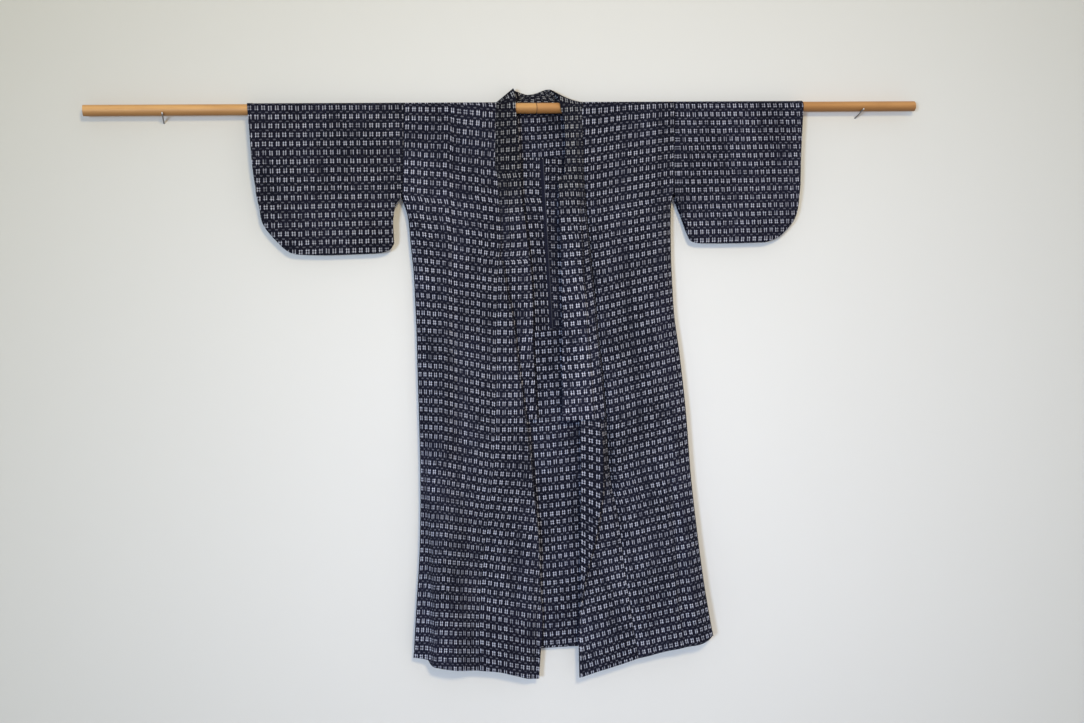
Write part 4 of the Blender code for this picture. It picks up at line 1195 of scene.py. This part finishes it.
INDIGO = (0.0050, 0.0056, 0.0140)
PALE_INDIGO = (0.0085, 0.0092, 0.0210)
UNDYED = (0.67, 0.69, 0.83)

# Each piece's own tint: how its red, green and blue stand to the plain colour, and how they change for each metre
# across and up it. The body pieces' brighter, bluer lower part is painted light; the darker sleeves and shoulder
# lining are painted shade, and the bluer seat lining is painted with the blue of that shade.
BODY_TINT_AND_LIGHT = ((0.985, 0.0, -0.045), (0.970, 0.0, -0.070), (0.955, 0.0, -0.120))
# Painted shade: the sleeves darker, the left one most.
SLEEVE_TINT_AND_SHADE = {
    "left": ((0.83, 0.0, 0.0), (0.81, 0.0, 0.0), (0.77, 0.0, 0.0)),
    "right": ((0.92, 0.0, 0.0), (0.91, 0.0, 0.0), (0.92, 0.0, 0.0)),
}
COLLAR_TINT = ((0.98, 1.0, -0.35), (0.97, 1.0, -0.35), (0.93, 1.0, -0.45))
# Painted shade: the shoulder lining darker, and the seat lining bluer and a little brighter with the blue of that
# shade.
SHOULDER_TINT_AND_SHADE = ((0.86, 0.0, 0.0), (0.86, 0.0, 0.0), (0.88, 0.0, 0.0))
SEAT_TINT_AND_SHADE = ((1.0, 0.0, 0.0), (1.02, 0.0, 0.0), (1.08, 0.0, 0.0))

# The collar is darker towards its top: how much of each colour is lost, and between which heights
COLLAR_TOP_DARKER = (0.22, 0.23, 0.30)
COLLAR_TOP_DARKER_FROM = -0.28
COLLAR_TOP_DARKER_FULL = -0.16
BAR_ACROSS = 2.6
BAR_DOWN = 2.7
BAR_HALF = 0.90
MARK_HALF_WIDTH = 4.3
MARK_HALF_HEIGHT = 5.2
COLUMN_MM = COLUMN * 1000
ROW_MM = ROW * 1000
YARN_MM = YARN * 1000


def kasuri_cotton(name, seed, tint=BODY_TINT_AND_LIGHT, lost=(0.0, 0.0, 0.0)):
    """Indigo cotton with small well-curb marks, reserved by tying in the warp and the weft yarns."""
    cloth_recipe = Recipe(name)
    weave = cloth_recipe.node("ShaderNodeUVMap", {"uv_map": "weave"})
    u, v, _ = cloth_recipe.parts(weave)
    column = u.floor()
    row = v.floor()
    across = (u - column - 0.5) * COLUMN_MM
    down = (v - row - 0.5) * ROW_MM
    ply = (u * (COLUMN_MM / YARN_MM)).floor()
    pick = (v * (ROW_MM / YARN_MM)).floor()
    by_ply = cloth_recipe.chance(ply, (row * 0.5).floor(), seed)
    by_pick = cloth_recipe.chance((column * 0.34).floor(), pick, seed + 1)
    spot = cloth_recipe.chance(column, row, seed + 2)
    stripe = cloth_recipe.chance(column, seed + 3, 0.0)
    band = cloth_recipe.chance(row, seed + 4, 0.5)
    side = across.math("SIGN")
    half = down.math("SIGN")
    warp_bar = cloth_recipe.chance(column * 2 + side, row, seed + 5)
    weft_bar = cloth_recipe.chance(column, row * 2 + half, seed + 6)
    slip_warp = (by_ply[0] - 0.5) * 2.6 + (stripe[0] - 0.5) * 1.4
    slip_weft = (by_pick[0] - 0.5) * 3.0 + (band[0] - 0.5) * 1.4
    off_warp = ((across.distance() - BAR_ACROSS) + (warp_bar[2] - 0.5) * 0.7).distance()
    off_weft = ((down.distance() - BAR_DOWN) + (weft_bar[2] - 0.5) * 0.9).distance()
    warp = off_warp.ramp(BAR_HALF + 0.2, BAR_HALF - 0.2) * (down + slip_warp).distance().ramp(
        MARK_HALF_HEIGHT + 0.5, MARK_HALF_HEIGHT - 0.6
    )
    weft = off_weft.ramp(BAR_HALF + 0.2, BAR_HALF - 0.2) * (across + slip_weft).distance().ramp(
        MARK_HALF_WIDTH + 0.6, MARK_HALF_WIDTH - 0.6
    )
    stripe_strength = stripe[1].ramp(0.0, 0.35, 0.55, 1.0)
    band_strength = band[1].ramp(0.0, 0.30, 0.50, 1.0)
    warp = warp * stripe_strength * warp_bar[0].ramp(0.0, 0.22, 0.35, 1.0) * (0.75 + by_ply[1] * 0.35)
    weft = weft * band_strength * weft_bar[0].ramp(0.05, 0.60, 0.10, 1.0) * (0.70 + by_pick[1] * 0.40)
    # Short faint dashes stand half a column and half a row away from the marks
    dash_column = (u + 0.5).floor()
    dash_row = (v + 0.5).floor()
    dash = cloth_recipe.chance(dash_column, dash_row, seed + 7)
    dash_across = ((u + 0.5 - dash_column - 0.5) * COLUMN_MM + slip_weft * 0.6).distance()
    dash_down = ((v + 0.5 - dash_row - 0.5) * ROW_MM + (dash[1] - 0.5) * 1.0 + slip_warp * 0.4).distance()
    dashes = dash_across.ramp(3.9, 2.0) * dash_down.ramp(1.7, 0.7) * dash[2].ramp(0.0, 0.9, 0.05, 0.17)
    white = warp * 0.52 + weft * 0.30 + warp * weft * 0.24 + dashes
    # Yarn by yarn the dye takes a little more or less, with soft clouds of wear over the whole cloth
    yarns = 0.82 + by_ply[2] * 0.22 + by_pick[2] * 0.16
    streak = cloth_recipe.clouds(cloth_recipe.join(u * 3.0, v * 0.35, seed), 1.0, 3.0)
    slub = cloth_recipe.clouds(cloth_recipe.join(u * 0.5, v * 9.0, seed + 0.5), 1.0, 2.0)
    wear = cloth_recipe.clouds(cloth_recipe.join(u * 0.16, v * 0.12, seed + 0.7), 1.0, 2.0)
    tone = yarns * (0.72 + streak * 0.30 + slub * 0.26) * (0.80 + wear * 0.40)
    ground = cloth_recipe.blend(wear.ramp(0.35, 0.70), INDIGO, PALE_INDIGO)
    dyed = cloth_recipe.blend(white, ground, UNDYED)
    x, _, z = cloth_recipe.parts(cloth_recipe.node("ShaderNodeTexCoord", None, (), output=3))
    # The collar is made darker towards its top.
    near_neck = z.ramp(COLLAR_TOP_DARKER_FROM, COLLAR_TOP_DARKER_FULL)
    # Each piece's tint, with its painted light and shade, times the tone, less the collar's darkening towards its top
    level = cloth_recipe.join(
        *[tone * (share + x * across + z * down) * (1 - near_neck * less) for (share, across, down), less in zip(tint, lost)]
    )
    colour = cloth_recipe.node("ShaderNodeVectorMath", {"operation": "MULTIPLY"}, (dyed, level))
    thread_across = (u * (COLUMN_MM / YARN_MM * math.pi)).math("SINE").distance()
    thread_down = (v * (ROW_MM / YARN_MM * math.pi)).math("SINE").distance()
    checker = (ply + pick).math("MODULO", 2.0).distance()
    height = thread_across * checker + thread_down * (1 - checker) + (slub + streak) * 0.8
    bump = cloth_recipe.node("ShaderNodeBump", None, {"Strength": 0.35, "Distance": 0.0002, "Height": height})
    roughness = 0.90 - white * 0.10 - streak * 0.06
    return cloth_recipe.finish(
        colour,
        roughness,
        bump,
        Sheen_Weight=0.03,
        Sheen_Roughness=0.45,
        Sheen_Tint=(0.75, 0.80, 1.0),
        Specular_IOR_Level=0.10,
    )


def plain_indigo(name):
    """The plain selvedge of the cloth, folded into the middle seam, with a paler line at its own edge."""
    recipe = Recipe(name)
    u, v, _ = recipe.parts(recipe.node("ShaderNodeUVMap", {"uv_map": "weave"}))
    streak = recipe.clouds(recipe.join(u * 9.0, v * 0.6, 0.0), 1.0, 3.0)
    fleck = recipe.clouds(recipe.join(u * 20.0, v * 22.0, 3.0), 1.0, 2.0)
    edge = u.ramp(0.30, 0.14) * (0.5 + fleck * 0.6)
    base = recipe.blend(streak, (0.0065, 0.0072, 0.0175), (0.0125, 0.0135, 0.0300))
    colour = recipe.blend(edge * 0.7, base, (0.085, 0.092, 0.125))
    thread = (v * (ROW_MM / YARN_MM * math.pi)).math("SINE").distance()
    bump = recipe.node("ShaderNodeBump", None, {"Strength": 0.3, "Distance": 0.0002, "Height": thread + fleck})
    return recipe.finish(colour, 0.88 - streak * 0.05, bump, Sheen_Weight=0.03, Specular_IOR_Level=0.10)


def cotton_thread(name):
    """Dark indigo sewing thread, twisted."""
    recipe = Recipe(name)
    place = recipe.node("ShaderNodeTexCoord", None, (), output=3)
    x, y, z = recipe.parts(place)
    twist = ((x + z) * 9000.0).math("SINE")
    fleck = recipe.clouds(recipe.join(x * 700.0, y * 700.0, z * 700.0), 1.0, 2.0)
    colour = recipe.blend(fleck, (0.012, 0.014, 0.030), (0.045, 0.050, 0.085))
    bump = recipe.node("ShaderNodeBump", None, {"Strength": 0.4, "Distance": 0.0001, "Height": twist})
    return recipe.finish(colour, 0.75 - fleck * 0.1, bump, Sheen_Weight=0.05, Specular_IOR_Level=0.2)


def rod_wood(name):
    """Pale straight-grained wood in two lengths, the left one yellower, with dark pores along it."""
    recipe = Recipe(name)
    place = recipe.node("ShaderNodeTexCoord", None, (), output=3)
    x, y, z = recipe.parts(place)
    right = x.ramp(ROD_JOINT_X - 0.0001, ROD_JOINT_X + 0.0001)
    grain = recipe.clouds(recipe.join(x * 3.0 + right * 7.0, y * 260.0, z * 260.0), 1.0, 4.0, 0.6)
    pores = recipe.clouds(recipe.join(x * 40.0, y * 1500.0, z * 1500.0), 1.0, 2.0)
    waves = recipe.clouds(recipe.join(x * 5.0, y * 30.0, z * 30.0), 1.0, 2.0)
    left_tone = recipe.blend(grain, (0.56, 0.28, 0.090), (0.80, 0.46, 0.170))
    right_tone = recipe.blend(grain, (0.50, 0.24, 0.080), (0.74, 0.39, 0.145))
    tone = recipe.blend(right, left_tone, right_tone)
    worn = recipe.blend(waves.ramp(0.40, 0.75) * 0.5, tone, (0.42, 0.19, 0.060))
    # The lower side of the rod is painted darker: painted shade under it.
    shaded_underside = recipe.blend(z.ramp(0.006, -0.010) * 0.8, worn, (0.20, 0.085, 0.022))
    pored = recipe.blend(pores.ramp(0.62, 0.72) * 0.55, shaded_underside, (0.22, 0.095, 0.030))
    near_joint = (x - ROD_JOINT_X).distance()
    colour = recipe.blend(near_joint.ramp(ROD_JOINT_WIDTH, ROD_JOINT_WIDTH * 0.5) * 0.85, pored, (0.07, 0.035, 0.015))
    bump = recipe.node("ShaderNodeBump", None, {"Strength": 0.25, "Distance": 0.0003, "Height": grain - pores * 0.5})
    return recipe.finish(colour, 0.42 + grain * 0.18, bump, Specular_IOR_Level=0.35)


def pin_steel(name):
    """Dull drawn steel, duller towards the wall and polished at the tip."""
    recipe = Recipe(name)
    place = recipe.node("ShaderNodeTexCoord", None, (), output=3)
    x, y, z = recipe.parts(place)
    tip = y.ramp(-0.0150, -0.0185)
    scratches = recipe.clouds(recipe.join(x * 900.0, y * 60.0, z * 900.0), 1.0, 3.0)
    spots = recipe.clouds(recipe.join(x * 500.0, y * 500.0, z * 500.0), 1.0, 2.0)
    dull = recipe.blend(spots, (0.16, 0.15, 0.15), (0.34, 0.33, 0.33))
    colour = recipe.blend(tip, dull, (0.82, 0.82, 0.83))
    bump = recipe.node("ShaderNodeBump", None, {"Strength": 0.2, "Distance": 0.0001, "Height": scratches})
    return recipe.finish(colour, 0.50 - tip * 0.26 + scratches * 0.12, bump, Metallic=1.0)


# The pieces


def declare(piece, node, flat, area):
    """Hangs a piece of cloth from the root and hides the part it stands for; flat and area, the size it was cut to,
    are not used.
    """
    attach(piece, "root")
    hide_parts(node)


def front_levels():
    near_rod = [0.03 * k / 8 for k in range(8)]
    return near_rod + hemmed([0.03 + 0.97 * k / 220 for k in range(221)])


def hemmed(levels):
    """Levels with three more at the step of a hem, in order."""
    fold = 1 - HEM_WIDTH / 1.26
    step = HEM_STEP / 1.26
    return sorted([*levels, fold - step, fold, fold + step])


def hem_fold(level):
    """1 below the step of a hem and 0 above it."""
    return ease(((level - 1) * 1.26 + HEM_WIDTH) / HEM_STEP)


def add_body(side, finish):
    rows = [("back", level) for level in reversed(hemmed([1 - k / 180 for k in range(178)]))]
    rows += [("back", NECK_DROP / 1.23), ("back", NECK_STEP / 1.23)]
    rows += [("over", 180 - 180 * k / 18) for k in range(18)]
    rows += [("front", level) for level in front_levels()]
    columns = shares(56)

    def place(share, row):
        return body_point(side, share, row)

    def chart(points):
        return body_chart(side, rows, points)

    def folded(share, row, point):
        return 0.0 if row[0] == "over" else hem_fold(row[1])

    piece = cloth(f"body_{side}_cotton", columns, rows, place, chart, [finish], folded)
    declare(piece, f"body_{side}", (0.345, 2.52), 0.66)
    return piece


def add_overlap(side, finish):
    columns = [("panel", 0.86 * share) for share in shares(26)] + [("panel", 0.86 + 0.14 * k / 14) for k in range(1, 15)]
    columns += [("turn", share) for share in (0.15, 0.3, 0.45, 0.6, 0.75, 0.9, 1.0)]
    columns += [("flap", k / 12) for k in range(1, 13)]
    rows = hemmed([mix(0.273, 1.0, k / 170) for k in range(171)])

    def place(column, level):
        return overlap_point(side, column, level)

    def chart(points):
        return overlap_chart(side, columns, points)

    def folded(column, level, point):
        part, share = column
        width = by_height(LEFT_FOLD if side == "left" else RIGHT_FOLD, "flap", point.z)
        beside = ease((HEM_WIDTH - (1 - share) * width) / HEM_STEP) if part == "flap" else 0.0
        return max(hem_fold(level), beside * 0.6)

    piece = cloth(f"overlap_{side}_cotton", columns, rows, place, chart, [finish], folded)
    declare(piece, f"overlap_{side}", (0.15, 0.96), 0.115)
    return piece


def add_sleeve(side, finish):
    levels = [k / 60 for k in range(1, 55)] + [0.9 + 0.1 * math.sin(math.pi / 2 * k / 12) for k in range(1, 12)]
    rows = [("back", 1)] + [("back", level) for level in reversed(levels)]
    rows += [("over", 180 - 180 * k / 18) for k in range(19)]
    rows += [("front", level) for level in levels] + [("front", 1)]
    cuff = [1 - (HEM_WIDTH + step) / 0.33 for step in (HEM_STEP, 0.0, -HEM_STEP)]
    columns = sorted([*shares(64), *cuff])

    def place(share, row):
        return sleeve_point(side, share, row)

    def chart(points):
        return sleeve_chart(side, rows, points)

    def folded(share, row, point):
        return ease(((share - 1) * 0.33 + HEM_WIDTH) / HEM_STEP)

    piece = cloth(f"sleeve_{side}_cotton", columns, rows, place, chart, [finish], folded)
    declare(piece, f"sleeve_{side}", (0.345, 0.69), 0.21)
    return piece


def add_collar(finish):
    sections = collar_sections()

    def chart(points):
        return collar_chart(sections, points)

    piece = cloth("collar_cotton", [*shares(30)[:18], *[0.6 + 0.4 * k / 8 for k in range(9)]], sections, collar_point, chart, [finish])
    declare(piece, "collar", (0.11, 1.78), 0.12)
    return piece


def lining_point(column, level):
    """A point of a lining, one layer inward from the back that carries it."""
    side, share = column
    z = level * smooth(BACK_HEM["x"], BACK_HEM["z"], mix(BACK_SEAM_X, SIDE[side][-1], share))
    x = mix(BACK_SEAM_X, side_edge(side, z), share)
    return Vector((x, back_depth(side, x, z) - LAYER, z))


def allowance_point(share, level):
    """A point of the middle seam's allowance, from the seam, 0, to its own edge, 1."""
    seam = body_point("left", 0.0, ("back", level))
    point = seam.copy()
    point.x += SEAM_ALLOWANCE_LEAN * level - share * SEAM_ALLOWANCE_WIDTH
    point.y = back_depth("left", point.x, point.z) - 0.0013
    return point


def add_back_pieces(shoulder, seat, plain):
    columns = [("left", share) for share in reversed(shares(40)[:-1])]
    columns += [("right", share) for share in shares(40)[1:-1]]
    for name, ends, finish, flat, area in (
        ("shoulder_lining", SHOULDER_LINING, shoulder, (0.63, 0.16), 0.052),
        ("seat_lining", SEAT_LINING, seat, (0.70, 0.73), 0.46),
    ):
        count = round((ends[1] - ends[0]) * 180)
        levels = [mix(*ends, k / count) for k in range(count + 1)]
        piece = cloth(f"{name}_cotton", columns, levels, lining_point, lining_chart, [finish])
        declare(piece, name, flat, area)
    levels = [mix(*SEAM_ALLOWANCE, k / 60) for k in range(61)]
    piece = cloth("back_seam_allowance_cotton", shares(6), levels, allowance_point, plain_chart_allowance, [plain])
    declare(piece, "back_seam_allowance", (0.0115, 0.39), 0.0044)


def plain_chart_allowance(points):
    return [[(k / (len(line) - 1), -point.z / ROW) for k, point in enumerate(line)] for line in points]


STITCH = (0.0013, 0.00026, 0.00022)
STITCH_PITCH = 0.0085


def sew(name, runs, finish):
    """Short stitches along runs of points on the cloth, each run with the direction that is outward."""
    shape = bmesh.new()
    for points, outward in runs:
        left = STITCH_PITCH / 2
        for a, b in zip(points, points[1:]):
            way = b - a
            while left < way.length:
                middle = a + way.normalized() * left
                along = way.normalized()
                out = (outward - along * outward.dot(along)).normalized()
                turn = Matrix((along, out.cross(along), out)).transposed().to_4x4()
                lean = Matrix.Rotation(math.radians(14), 4, "Z")
                place = Matrix.Translation(middle + out * (FOLDED / 2)) @ turn @ lean @ Matrix.Diagonal((*STITCH, 1.0))
                bmesh.ops.create_uvsphere(shape, u_segments=8, v_segments=5, radius=1.0, matrix=place)
                left += STITCH_PITCH
            left -= way.length
    mesh = bpy.data.meshes.new(name)
    shape.to_mesh(mesh)
    shape.free()
    mesh.shade_smooth()
    piece = new_object(name, mesh, [finish])
    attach(piece, "root")
    return piece


def add_stitches(side, finish):
    """The blind stitches that show along the hems, the overlap's edge and the cuff."""
    front = Vector((0.0, -1.0, 0.0))
    back = Vector((0.0, 1.0, 0.0))
    level = 1 - (HEM_WIDTH - 0.0015) / 1.26
    runs = [([body_point(side, k / 60, ("front", level)) for k in range(1, 60)], front)]
    runs += [([body_point(side, k / 60, ("back", level)) for k in range(1, 60)], back)]
    runs += [([overlap_point(side, ("panel", k / 40), level) for k in range(1, 39)], front)]
    cuff = 1 - (HEM_WIDTH - 0.0015) / 0.33
    for face, outward in (("front", front), ("back", back)):
        runs += [([sleeve_point(side, cuff, (face, 0.04 + 0.86 * k / 40)) for k in range(41)], outward)]
    sew(f"stitches_{side}", runs, finish)


def add_collar_stitches(finish):
    """The stitches along the collar's sewn edge, down both fronts."""
    runs = []
    for side in ("left", "right"):
        share = 0.028
        end = 0.26 if side == "left" else COLLAR_END
        points = [collar_front_point(side, share, mix(0.012, end - 0.005, k / 160)) for k in range(161)]
        runs.append((points, Vector((0.0, -1.0, 0.0))))
    sew("stitches_collar", runs, finish)


def add_rod(finish):
    low, top = ROD_ENDS
    chamfer = 0.0008
    half = ROD_JOINT_WIDTH / 2
    groove = ROD_RADIUS - ROD_JOINT_DEPTH
    profile = [(0.0, top), (ROD_RADIUS - chamfer, top), (ROD_RADIUS - 0.3 * chamfer, top - 0.3 * chamfer)]
    profile += [(ROD_RADIUS, top - chamfer), (ROD_RADIUS, ROD_JOINT_X + half), (groove, ROD_JOINT_X + half / 2)]
    profile += [(groove, ROD_JOINT_X - half / 2), (ROD_RADIUS, ROD_JOINT_X - half), (ROD_RADIUS, low + chamfer)]
    profile += [(ROD_RADIUS - 0.3 * chamfer, low + 0.3 * chamfer), (ROD_RADIUS - chamfer, low), (0.0, low)]
    turn = Matrix.Rotation(math.pi / 2, 4, "Y")
    rod = spun("rod_turned", profile, 64, turn, finish)
    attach(rod, "root")
    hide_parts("rod")


def add_pins(finish):
    contact = ROD_RADIUS + PIN_RADIUS + 0.0003
    touch = Vector((0.0, -contact * math.sin(PIN_TILT), -contact * math.cos(PIN_TILT)))
    outward = Vector((0.0, -math.cos(PIN_TILT), math.sin(PIN_TILT)))
    behind = (WALL_Y - touch.y) / math.cos(PIN_TILT) - PIN_RADIUS * math.tan(PIN_TILT)
    tip = PIN_REACH - behind
    rounding = [
        (PIN_RADIUS * math.sin(turn), tip - PIN_RADIUS * (1 - math.cos(turn)))
        for turn in [math.pi / 2 * k / 8 for k in range(9)]
    ]
    profile = [*rounding, (PIN_RADIUS, -behind), (0.0, -behind)]
    for name, x in PIN_PLACES.items():
        place = Matrix.Translation((x, touch.y, touch.z)) @ outward.to_track_quat("Z", "Y").to_matrix().to_4x4()
        pin = spun(f"{name}_steel", profile, 32, place, finish)
        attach(pin, "root")
        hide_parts(name)


# The room: camera, wall, floor and light

CAMERA_PLACE = (-0.639, -2.794, -0.578)
CAMERA_YAW = math.radians(12.41)
CAMERA_ROLL = math.radians(-2.85)
LENS_MM = 41.68
SENSOR_MM = 36.0


def add_camera():
    ahead = Vector((math.sin(CAMERA_YAW), math.cos(CAMERA_YAW), 0.0))
    across = ahead.cross(Vector((0.0, 0.0, 1.0)))
    upward = across.cross(ahead)
    right = across * math.cos(CAMERA_ROLL) + upward * math.sin(CAMERA_ROLL)
    top = upward * math.cos(CAMERA_ROLL) - across * math.sin(CAMERA_ROLL)
    lens = bpy.data.cameras.new("Camera")
    lens.lens = LENS_MM
    lens.sensor_width = SENSOR_MM
    lens.clip_start = 0.05
    camera = bpy.data.objects.new("Camera", lens)
    turn = Matrix((right, top, -ahead)).transposed().to_4x4()
    camera.matrix_world = Matrix.Translation(CAMERA_PLACE) @ turn
    bpy.context.scene.collection.objects.link(camera)
    bpy.context.scene.camera = camera


def plane(name, centre, size, normal, finish):
    shape = bmesh.new()
    bmesh.ops.create_grid(shape, x_segments=1, y_segments=1, size=0.5)
    turn = Vector(normal).to_track_quat("Z", "Y").to_matrix().to_4x4()
    stretch = Matrix.Diagonal((*size, 1.0, 1.0))
    bmesh.ops.transform(shape, matrix=Matrix.Translation(centre) @ turn @ stretch, verts=shape.verts)
    mesh = bpy.data.meshes.new(name)
    shape.to_mesh(mesh)
    shape.free()
    made = new_object(name, mesh, [finish])
    return made


# Painted light on the wall: where it is brightest, and how its red, green and blue change across it and up it
WALL_BRIGHT = (-0.05, -0.60)
WALL_TONE = ((1.014, 0.126, -0.041), (1.011, 0.140, -0.048), (1.030, 0.178, -0.088))


def painted_wall():
    """Off-white matt paint with painted light falling off outward from its brightest place, clear from behind so that
    the back can be looked at.
    """
    recipe = Recipe("Wall paint")
    place = recipe.node("ShaderNodeTexCoord", None, (), output=3)
    mottle = recipe.clouds(place, 3.0, 3.0)
    stipple = recipe.clouds(place, 900.0, 2.0)
    x, y, z = recipe.parts(place)
    outward = ((x - WALL_BRIGHT[0]) * (x - WALL_BRIGHT[0]) + (z - WALL_BRIGHT[1]) * (z - WALL_BRIGHT[1])).math("SQRT")
    paint = recipe.blend(mottle, (0.790, 0.790, 0.790), (0.805, 0.805, 0.805))
    # Painted light: the wall darker and warmer outward from its brightest place.
    painted_falloff = recipe.blend((outward - 0.25) / 1.5, paint, (0.540, 0.535, 0.490))
    low = z - WALL_BRIGHT[1]
    tone = recipe.join(*[level + x * across + low * down for level, across, down in WALL_TONE])
    colour = recipe.node("ShaderNodeVectorMath", {"operation": "MULTIPLY"}, (painted_falloff, tone))
    bump = recipe.node("ShaderNodeBump", None, {"Strength": 0.15, "Distance": 0.0005, "Height": stipple})
    recipe.finish(colour, 0.9, bump, Specular_IOR_Level=0.1)
    behind = recipe.node("ShaderNodeNewGeometry", None, (), output="Backfacing")
    clear = recipe.node("ShaderNodeBsdfTransparent")
    paint = Value(recipe, recipe.shader.outputs[0])
    both = recipe.node("ShaderNodeMixShader", None, (behind, paint, clear))
    recipe.tree.links.new(both.socket, recipe.tree.nodes["Material Output"].inputs[0])
    return recipe.material


def floor_paint():
    recipe = Recipe("Pale floor")
    place = recipe.node("ShaderNodeTexCoord", None, (), output=3)
    mottle = recipe.clouds(place, 2.0, 3.0)
    return recipe.finish(recipe.blend(mottle, (0.60, 0.60, 0.58), (0.64, 0.64, 0.62)), 0.75)


def add_light(name, place, target, size, power, colour):
    lamp = bpy.data.lights.new(name, "AREA")
    lamp.shape = "DISK"
    lamp.size = size
    lamp.energy = power
    lamp.color = colour
    made = bpy.data.objects.new(name, lamp)
    made.location = place
    made.rotation_euler = (Vector(target) - Vector(place)).to_track_quat("-Z", "Y").to_euler()
    bpy.context.scene.collection.objects.link(made)


def add_room():
    wall = plane("Wall", (0.0, WALL_Y, 0.2), (9.0, 5.0), (0, -1, 0), painted_wall())
    wall.visible_shadow = False
    wall.visible_diffuse = False
    wall.visible_glossy = False
    plane("Floor", (0.0, 0.0, FLOOR_Z), (9.0, 7.0), (0, 0, 1), floor_paint())
    world = bpy.data.worlds.new("Soft room light")
    world.use_nodes = True
    background = world.node_tree.nodes["Background"]
    background.inputs["Color"].default_value = (0.94, 0.95, 1.0, 1.0)
    background.inputs["Strength"].default_value = 0.51
    bpy.context.scene.world = world
    middle = (0.0, 0.0, -0.50)
    add_light("Cool light from the left", (-2.45, -4.5, -0.65), middle, 0.75, 118, (0.58, 0.76, 1.0))
    add_light("Warm light from above the camera", (-0.1, -3.5, 0.58), middle, 0.55, 52, (1.0, 0.82, 0.48))
    add_light("Soft light behind", (0.5, 3.5, 1.2), middle, 2.5, 70, (1.0, 1.0, 1.0))
    bpy.context.scene.view_settings.view_transform = "Standard"


def main():
    add_camera()
    add_room()
    for side, seed in (("left", 11.0), ("right", 37.0)):
        add_body(side, kasuri_cotton(f"Kasuri cotton, {side} body", seed))
        add_overlap(side, kasuri_cotton(f"Kasuri cotton, {side} overlap", seed + 53))
        add_sleeve(side, kasuri_cotton(f"Kasuri cotton, {side} sleeve", seed + 97, SLEEVE_TINT_AND_SHADE[side]))
    add_collar(kasuri_cotton("Kasuri cotton, collar", 211.0, COLLAR_TINT, COLLAR_TOP_DARKER))
    add_back_pieces(
        kasuri_cotton("Kasuri cotton, shoulder lining", 307.0, SHOULDER_TINT_AND_SHADE),
        kasuri_cotton("Kasuri cotton, seat lining", 331.0, SEAT_TINT_AND_SHADE),
        plain_indigo("Plain indigo selvedge"),
    )
    thread = cotton_thread("Indigo thread")
    for side in ("left", "right"):
        add_stitches(side, thread)
    add_collar_stitches(thread)
    add_rod(rod_wood("Rod wood"))
    add_pins(pin_steel("Pin steel"))


main()
